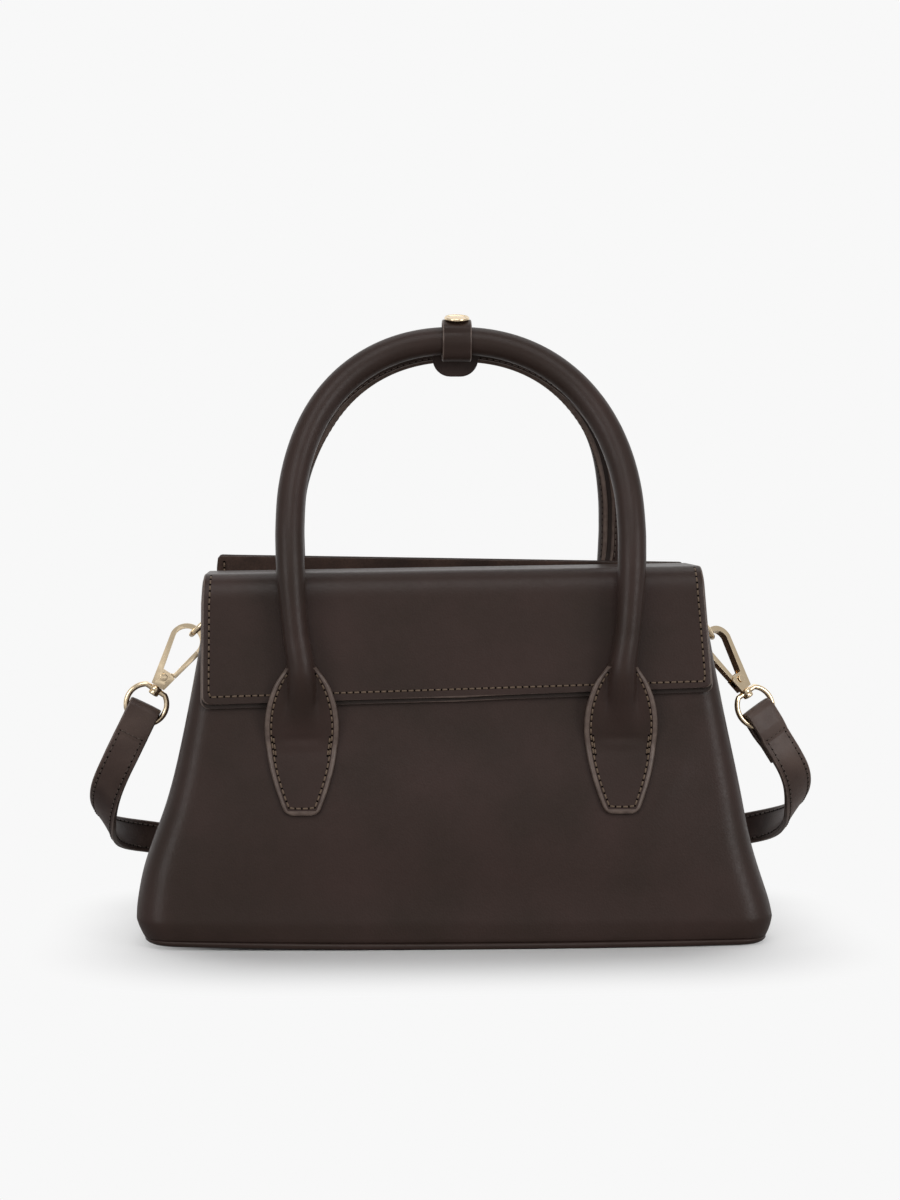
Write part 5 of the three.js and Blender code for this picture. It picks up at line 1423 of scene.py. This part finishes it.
class BAG_OT_flap(BagOperator, bpy.types.Operator):
    """Make the flap's leather, its suede lining and its stitches"""

    bl_idname = "bag.flap"
    bl_label = "Flap"

    def build(self):
        """The lining, the cover and the stitches; points by the hinge line are given for the two sheets, but
        nothing bends them.
        """
        y, z = hinge_line()
        forward, up = 11, 5
        bend = (0, y * MM, z * MM), (0, (y - forward) * MM, (z + up) * MM)
        # The lining's outer face shows only on its lower margin, where it carries the painted shade of the
        # gap under the cover's edge
        lining = sheet("flap_suede", flap_grid(FLAP_LINING, 1), flap_grid(0, 1),
                       [painted_groove_shade(), edge_paint(), suede()], inner_material=2)
        place_bent(lining, "suede", ("bag", "flap"), bend, "flap_lining")
        cover = sheet("flap_cover", flap_grid(FLAP_STACK), flap_grid(FLAP_LINING + SEAM), leathers())
        place_bent(cover, "leather", ("bag", "flap"), bend, "flap_leather")
        place(stitches("flap_stitches", [self.stitch_line()], tan_thread()), "leather", "flap")

    def stitch_line(self):
        """From the crown down the left side, along the lower edge and up the right side."""
        crown, corner_start, foot = 1.15, 2.8, 3 - FLAP_STITCH_RISE / FLAP_FALL
        t_side = np.linspace(crown, foot, 120)
        share_side = 1 - FLAP_STITCH_INSET / flap_half(np.minimum(t_side, corner_start))
        across = np.linspace(-share_side[-1], share_side[-1], 240)[1:-1]
        t = np.concatenate([t_side, np.full(238, foot), t_side[::-1]])
        share = np.concatenate([-share_side, across, share_side[::-1]])
        line, above = (flap_point(t, share, FLAP_STACK + lift) for lift in (0, 1))
        return line, unit(above - line)


class BAG_OT_handles(BagOperator, bpy.types.Operator):
    """Make both rolled handles with their tabs and stitches"""

    bl_idname = "bag.handles"
    bl_label = "Handles"

    def build(self):
        """Each handle is one body from tab to tab; points at the crease are given for it and the tabs'
        stitches, but nothing bends them.
        """
        for name, side in (("front", -1), ("back", 1)):
            rings, tab_rows, slit_rows = handle_rings(side)
            handle = tube(f"{name}_handle_leather", rings, leathers() + [painted_groove_shade()],
                          handle_marks(len(rings), tab_rows, slit_rows))
            tabs = stitches(f"{name}_tab_stitches", tab_stitch_runs(side), tan_thread())
            slit = stitches(f"{name}_slit_stitches", slit_stitch_runs(side), dark_thread(), SLIT_STITCH)
            y, z, _ = tab_line(side, np.array([-4.0, 4.0]))
            bodies, bend = ("bag", f"{name}_handle"), [(0, y[k] * MM, z[k] * MM) for k in (0, 1)]
            nodes = [f"{name}_{part}" for part in ("handle_cover", "handle_core", "left_tab", "right_tab")]
            place_bent(handle, "leather", bodies, bend, *nodes)
            place_bent(tabs, "leather", bodies, bend)
            place(slit, "leather", f"{name}_handle")


class BAG_OT_keeper(BagOperator, bpy.types.Operator):
    """Make the keeper's two loops and its snap cap"""

    bl_idname = "bag.keeper"
    bl_label = "Keeper"

    def build(self):
        """The front loop with the cap on it, and the back loop with its tab."""
        self.top = size("body_height") + ARCH_FOOT_RISE + ARCH_RISE
        self.middle = size("handle_radius") + KEEPER_EASE + KEEPER_LEATHER / 2
        self.front_loop()
        self.snap_cap()
        self.back_loop()

    def band(self, name, y, z, reach):
        """A strip carried round a handle: at each turn from the top, its middle lies at the given reach."""
        turn = np.linspace(0, 2 * np.pi, 72, endpoint=False)
        radius = reach(turn)
        line = np.stack([np.zeros(72), y - radius * np.sin(turn), z + radius * np.cos(turn)], axis=1)
        out = np.cross(tangents(line, closed=True), (1, 0, 0))
        section = rounded_bar(KEEPER_WIDTH / 2, KEEPER_LEATHER / 2, 0.6)
        # Edge paint covers the band's narrow sides and all four bevels, a painted reflection of bright
        # surroundings on the bevels; only the two broad faces stay plain leather
        marks = np.ones((72, len(section)), int)
        marks[:, [3, 11]] = 0
        rings = carried(line, np.tile([1, 0, 0], (72, 1)), out, section)
        return tube(name, rings, leathers(), marks, closed=True)

    def front_loop(self):
        """A loop that hangs slack below the handle and is raised to a flat pad under the cap."""
        slack_start, slack_span, pad_half, pad_fade = 115, 45, 52, 18
        slack = lambda turn: KEEPER_SLACK * smooth((np.abs(turn) / DEGREE - slack_start) / slack_span)
        off_pad = lambda turn: np.abs(turn - KEEPER_TILT) / DEGREE
        pad = lambda turn: KEEPER_PAD_RISE * smooth((pad_half - off_pad(turn)) / pad_fade)
        reach = lambda turn: self.middle + slack(turn) + pad(turn)
        wrap = lambda turn: reach(np.where(turn > np.pi, turn - 2 * np.pi, turn))
        loop = self.band("keeper_loop_leather", -ARCH_SPREAD, self.top, wrap)
        place(loop, "leather", "front_handle", "keeper_front_loop")

    def snap_cap(self):
        """A low dome with a rolled rim, turned about its own axis."""
        base = self.middle + KEEPER_LEATHER / 2 + KEEPER_PAD_RISE + 0.1
        profile = [(0.2, 0.0), (5.4, 0.0), (5.75, 0.25), (5.9, 0.7), (5.75, 1.2), (5.4, 1.5), (5.0, 1.35),
                   (4.7, 1.0), (4.2, 1.0), (3.0, 1.3), (1.6, SNAP_HEIGHT - 0.1), (0.2, SNAP_HEIGHT)]
        sine, cosine = math.sin(KEEPER_TILT), math.cos(KEEPER_TILT)
        axes = np.array([(1, 0, 0), (0, -cosine, -sine), (0, -sine, cosine)])
        centre = np.array([0, -ARCH_SPREAD, self.top]) + base * axes[2]
        cap = lathe("snap_cap_metal", profile, centre, axes, 48, [pale_gold()])
        place(cap, "gold_metal", "front_handle", "keeper_snap_cap")

    def back_loop(self):
        """A round loop, and a tab with a round foot that hangs before it."""
        z = self.top - BACK_ARCH_DROP
        loop = self.band("back_loop_leather", ARCH_SPREAD, z, lambda turn: np.full(turn.shape, self.middle))
        place(loop, "leather", "back_handle", "keeper_back_loop")
        outer = self.middle + KEEPER_LEATHER / 2
        foot, head = self.top - KEEPER_TAB_DROP, z - outer * 0.4
        turn = np.linspace(0, np.pi / 2, 9)
        half, radius = KEEPER_TAB_WIDTH / 2, KEEPER_TAB_ROUND
        arc = np.stack([half - radius + radius * np.sin(turn), foot + radius - radius * np.cos(turn)], axis=1)
        right = np.concatenate([[(0, foot)], arc, [(half, head)], [(0, head)]])
        outline = np.concatenate([right, right[-2:0:-1] * (-1, 1)])
        middle = np.array([0, (foot + head) / 2])
        layers = [(0.94, 0), (0.985, 0.3), (1, 0.8), (1, 1.2), (0.985, 1.7), (0.94, KEEPER_TAB_LEATHER)]
        y = ARCH_SPREAD - outer + 0.1
        upright = np.zeros(3), np.eye(3)
        rings = [set_on(upright, middle + (outline - middle) * scale, y + depth) for scale, depth in layers]
        place(tube("keeper_tab_leather", np.array(rings), leathers()), "leather", "back_handle")


class BAG_OT_rings(BagOperator, bpy.types.Operator):
    """Make the chapes, the side rings and the swivel eyes"""

    bl_idname = "bag.rings"
    bl_label = "Chapes, rings and eyes"

    def build(self):
        """A chape, a side ring and a swivel eye at each side."""
        for name in HANGS:
            self.chape(name)
            self.side_ring(name)
            self.swivel_eye(name)

    def chape(self, name):
        """A strip up the gusset, round the ring's bar and back to itself."""
        bar = ring_height()
        reach = WIRE_RADIUS + SEAM + CHAPE_LEATHER / 2
        z = np.linspace(bar - CHAPE_LENGTH, bar, 14)
        flange = np.stack([gusset_face(z) + CHAPE_STAND + CHAPE_LEATHER / 2, z], axis=1)
        turn = np.linspace(np.pi, -0.62 * np.pi, 36)[1:]
        loop = np.stack([ring_out() + reach * np.cos(turn), bar + reach * np.sin(turn)], axis=1)
        flat = resample(np.concatenate([flange, loop]), 0.6)
        line = set_on((np.zeros(3), np.eye(3)), flat * (HANGS[name]["sign"], 1))
        across = np.tile([0.0, 1, 0], (len(line), 1))
        section = rounded_bar(CHAPE_WIDTH / 2, CHAPE_LEATHER / 2, 0.55)
        rings = carried(line, across, np.cross(across, tangents(line)), section)
        place(tube(f"{name}_chape_leather", rings, leathers()), "leather", "bag", f"{name}_ring_chape")

    def side_ring(self, name):
        """A D of round wire: a straight bar, two legs and a half-round bow."""
        hang, radius = HANGS[name], 1.6
        foot = RING_HALF - RING_REACH
        leg = foot / 2 - 1
        turn, bend = np.linspace(0, np.pi, 25), np.linspace(0, np.pi / 2, 6)
        bow = np.stack([RING_HALF * np.cos(turn), foot - RING_HALF * np.sin(turn)], axis=1)
        left = np.stack([-RING_HALF + radius * (1 - np.cos(bend)), -radius + radius * np.sin(bend)], axis=1)
        flat = np.concatenate([bow, [(-RING_HALF, leg)], left, left[::-1] * (-1, 1), [(RING_HALF, leg)]])
        tilt = hang["sign"] * hang["ring"]
        sine, cosine = math.sin(tilt), math.cos(tilt)
        pivot = np.array([hang["sign"] * ring_out(), 0, ring_height()])
        axes = np.array([(0, 1, 0), (cosine, 0, sine), (-sine, 0, cosine)])
        self.wire(f"{name}_ring_metal", set_on((pivot, axes), flat), axes[1], f"{name}_side_ring", name)

    def wire(self, name, line, normal, node, side):
        """Round wire carried along a closed flat line."""
        across = np.cross(tangents(line, closed=True), normal)
        rings = carried(line, across, np.tile(normal, (len(line), 1)), circle(WIRE_RADIUS, 16))
        place(tube(name, rings, [pale_gold()], closed=True), "gold_metal", f"{side}_clip", node)

    def swivel_eye(self, name):
        """A ring with a flat side at the collar, and the stepped collar that turns in the hook."""
        middle, (origin, axes) = eye_middle(), clip_frame(name)
        end = math.asin(EYE_CHORD / EYE_RADIUS)
        turn = np.linspace(end, -np.pi - end, 45)
        arc = np.stack([EYE_RADIUS * np.cos(turn), middle + EYE_RADIUS * np.sin(turn)], axis=1)
        reach = EYE_RADIUS * math.cos(end)
        chord = np.stack([np.linspace(-reach, reach, 9)[1:-1], np.full(7, middle + EYE_CHORD)], axis=1)
        line = set_on((origin, axes), np.concatenate([arc, chord]))
        self.wire(f"{name}_eye_metal", line, axes[1], f"{name}_swivel_eye", name)
        profile = [(0.3, -COLLAR_LENGTH), (2.0, -COLLAR_LENGTH), (2.45, -COLLAR_LENGTH + 0.35), (2.5, -3.0),
                   (2.2, -2.8), (2.2, -2.4), (2.6, -2.1), (COLLAR_RADIUS, -1.6), (COLLAR_RADIUS, -0.4),
                   (2.4, 0.0), (0.9, 0.02), (0.8, 1.2), (0.3, 1.3)]
        seated = np.array(profile) + (0, -HOOK_SEAT - SEAM)
        collar = lathe(f"{name}_collar_metal", seated, origin, axes, 32, [pale_gold()])
        place(collar, "gold_metal", f"{name}_clip")


class BAG_OT_hooks(BagOperator, bpy.types.Operator):
    """Round the edges of the snap hooks and finish the small metal parts"""

    bl_idname = "bag.hooks"
    bl_label = "Snap hooks"

    def build(self):
        """The cast parts with the widths of their rounded edges, and the parts that keep a solid's shape."""
        casts = (("hook_frame", "hook", 0.45), ("hook_gate", "gate", 0.4), ("gate_pin", "hook", 0.2))
        for name in HANGS:
            for node, body, width in casts:
                self.softened(f"{name}_{node}", f"{name}_{body}", width)
        spring_steel = plated_metal("spring_steel", "steel", 0.3, 0.45)
        for node in ("left_gate_spring", "right_gate_spring", "panel_magnet", "flap_magnet"):
            self.paint(node, spring_steel)
        self.paint("base_board", fibre_board())

    def paint(self, node, material):
        """Gives a solid that is shown as it is one material."""
        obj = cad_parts[node]
        obj.data.materials.clear()
        obj.data.materials.append(material)

    def softened(self, node, body, width):
        """A copy of a cast part with its sharp edges rounded over."""
        flat, sharp_turn = 1 * DEGREE, 35 * DEGREE
        mesh = bmesh.new()
        mesh.from_mesh(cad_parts[node].data)
        bmesh.ops.remove_doubles(mesh, verts=mesh.verts, dist=1e-6)
        bmesh.ops.dissolve_limit(mesh, angle_limit=flat, verts=mesh.verts, edges=mesh.edges)
        sharp = [e for e in mesh.edges if e.is_manifold and e.calc_face_angle() > sharp_turn]
        bmesh.ops.bevel(mesh, geom=sharp, offset=width * MM, segments=3, profile=0.6, affect="EDGES",
                        clamp_overlap=True)
        bmesh.ops.recalc_face_normals(mesh, faces=mesh.faces)
        data = bpy.data.meshes.new(f"{node}_metal")
        mesh.to_mesh(data)
        mesh.free()
        data.polygons.foreach_set("use_smooth", np.ones(len(data.polygons), bool))
        data.materials.append(pale_gold())
        obj = bpy.data.objects.new(f"{node}_metal", data)
        bpy.context.scene.collection.objects.link(obj)
        place(obj, "gold_metal", body, node)


STEPS = (BAG_OT_stage, BAG_OT_strap, BAG_OT_walls, BAG_OT_lining, BAG_OT_flap, BAG_OT_handles, BAG_OT_keeper,
         BAG_OT_rings, BAG_OT_hooks)


class BAG_PT_panel(bpy.types.Panel):
    """Lists the bag's sizes, colours and steps."""

    bl_idname = "BAG_PT_panel"
    bl_label = "Top-handle bag"
    bl_space_type = "VIEW_3D"
    bl_region_type = "UI"
    bl_category = "Bag"

    def draw(self, context):
        """Draws every size, every colour and a button for every step."""
        column = self.layout.column()
        for group in (context.scene.bag_sizes, context.scene.bag_colours):
            for name in group.__annotations__:
                column.prop(group, name)
        for step in STEPS:
            column.operator(step.bl_idname)


CLASSES = (BagSizes, BagColours, *STEPS, BAG_PT_panel)


def register():
    """Adds the classes and the two property groups."""
    for cls in CLASSES:
        bpy.utils.register_class(cls)
    bpy.types.Scene.bag_sizes = PointerProperty(type=BagSizes)
    bpy.types.Scene.bag_colours = PointerProperty(type=BagColours)


def unregister():
    """Takes them away again."""
    del bpy.types.Scene.bag_sizes
    del bpy.types.Scene.bag_colours
    for cls in reversed(CLASSES):
        bpy.utils.unregister_class(cls)


def main():
    """Registers the add-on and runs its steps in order."""
    register()
    for step in STEPS:
        group, name = step.bl_idname.split(".")
        getattr(getattr(bpy.ops, group), name)()


if __name__ == "__main__":
    main()
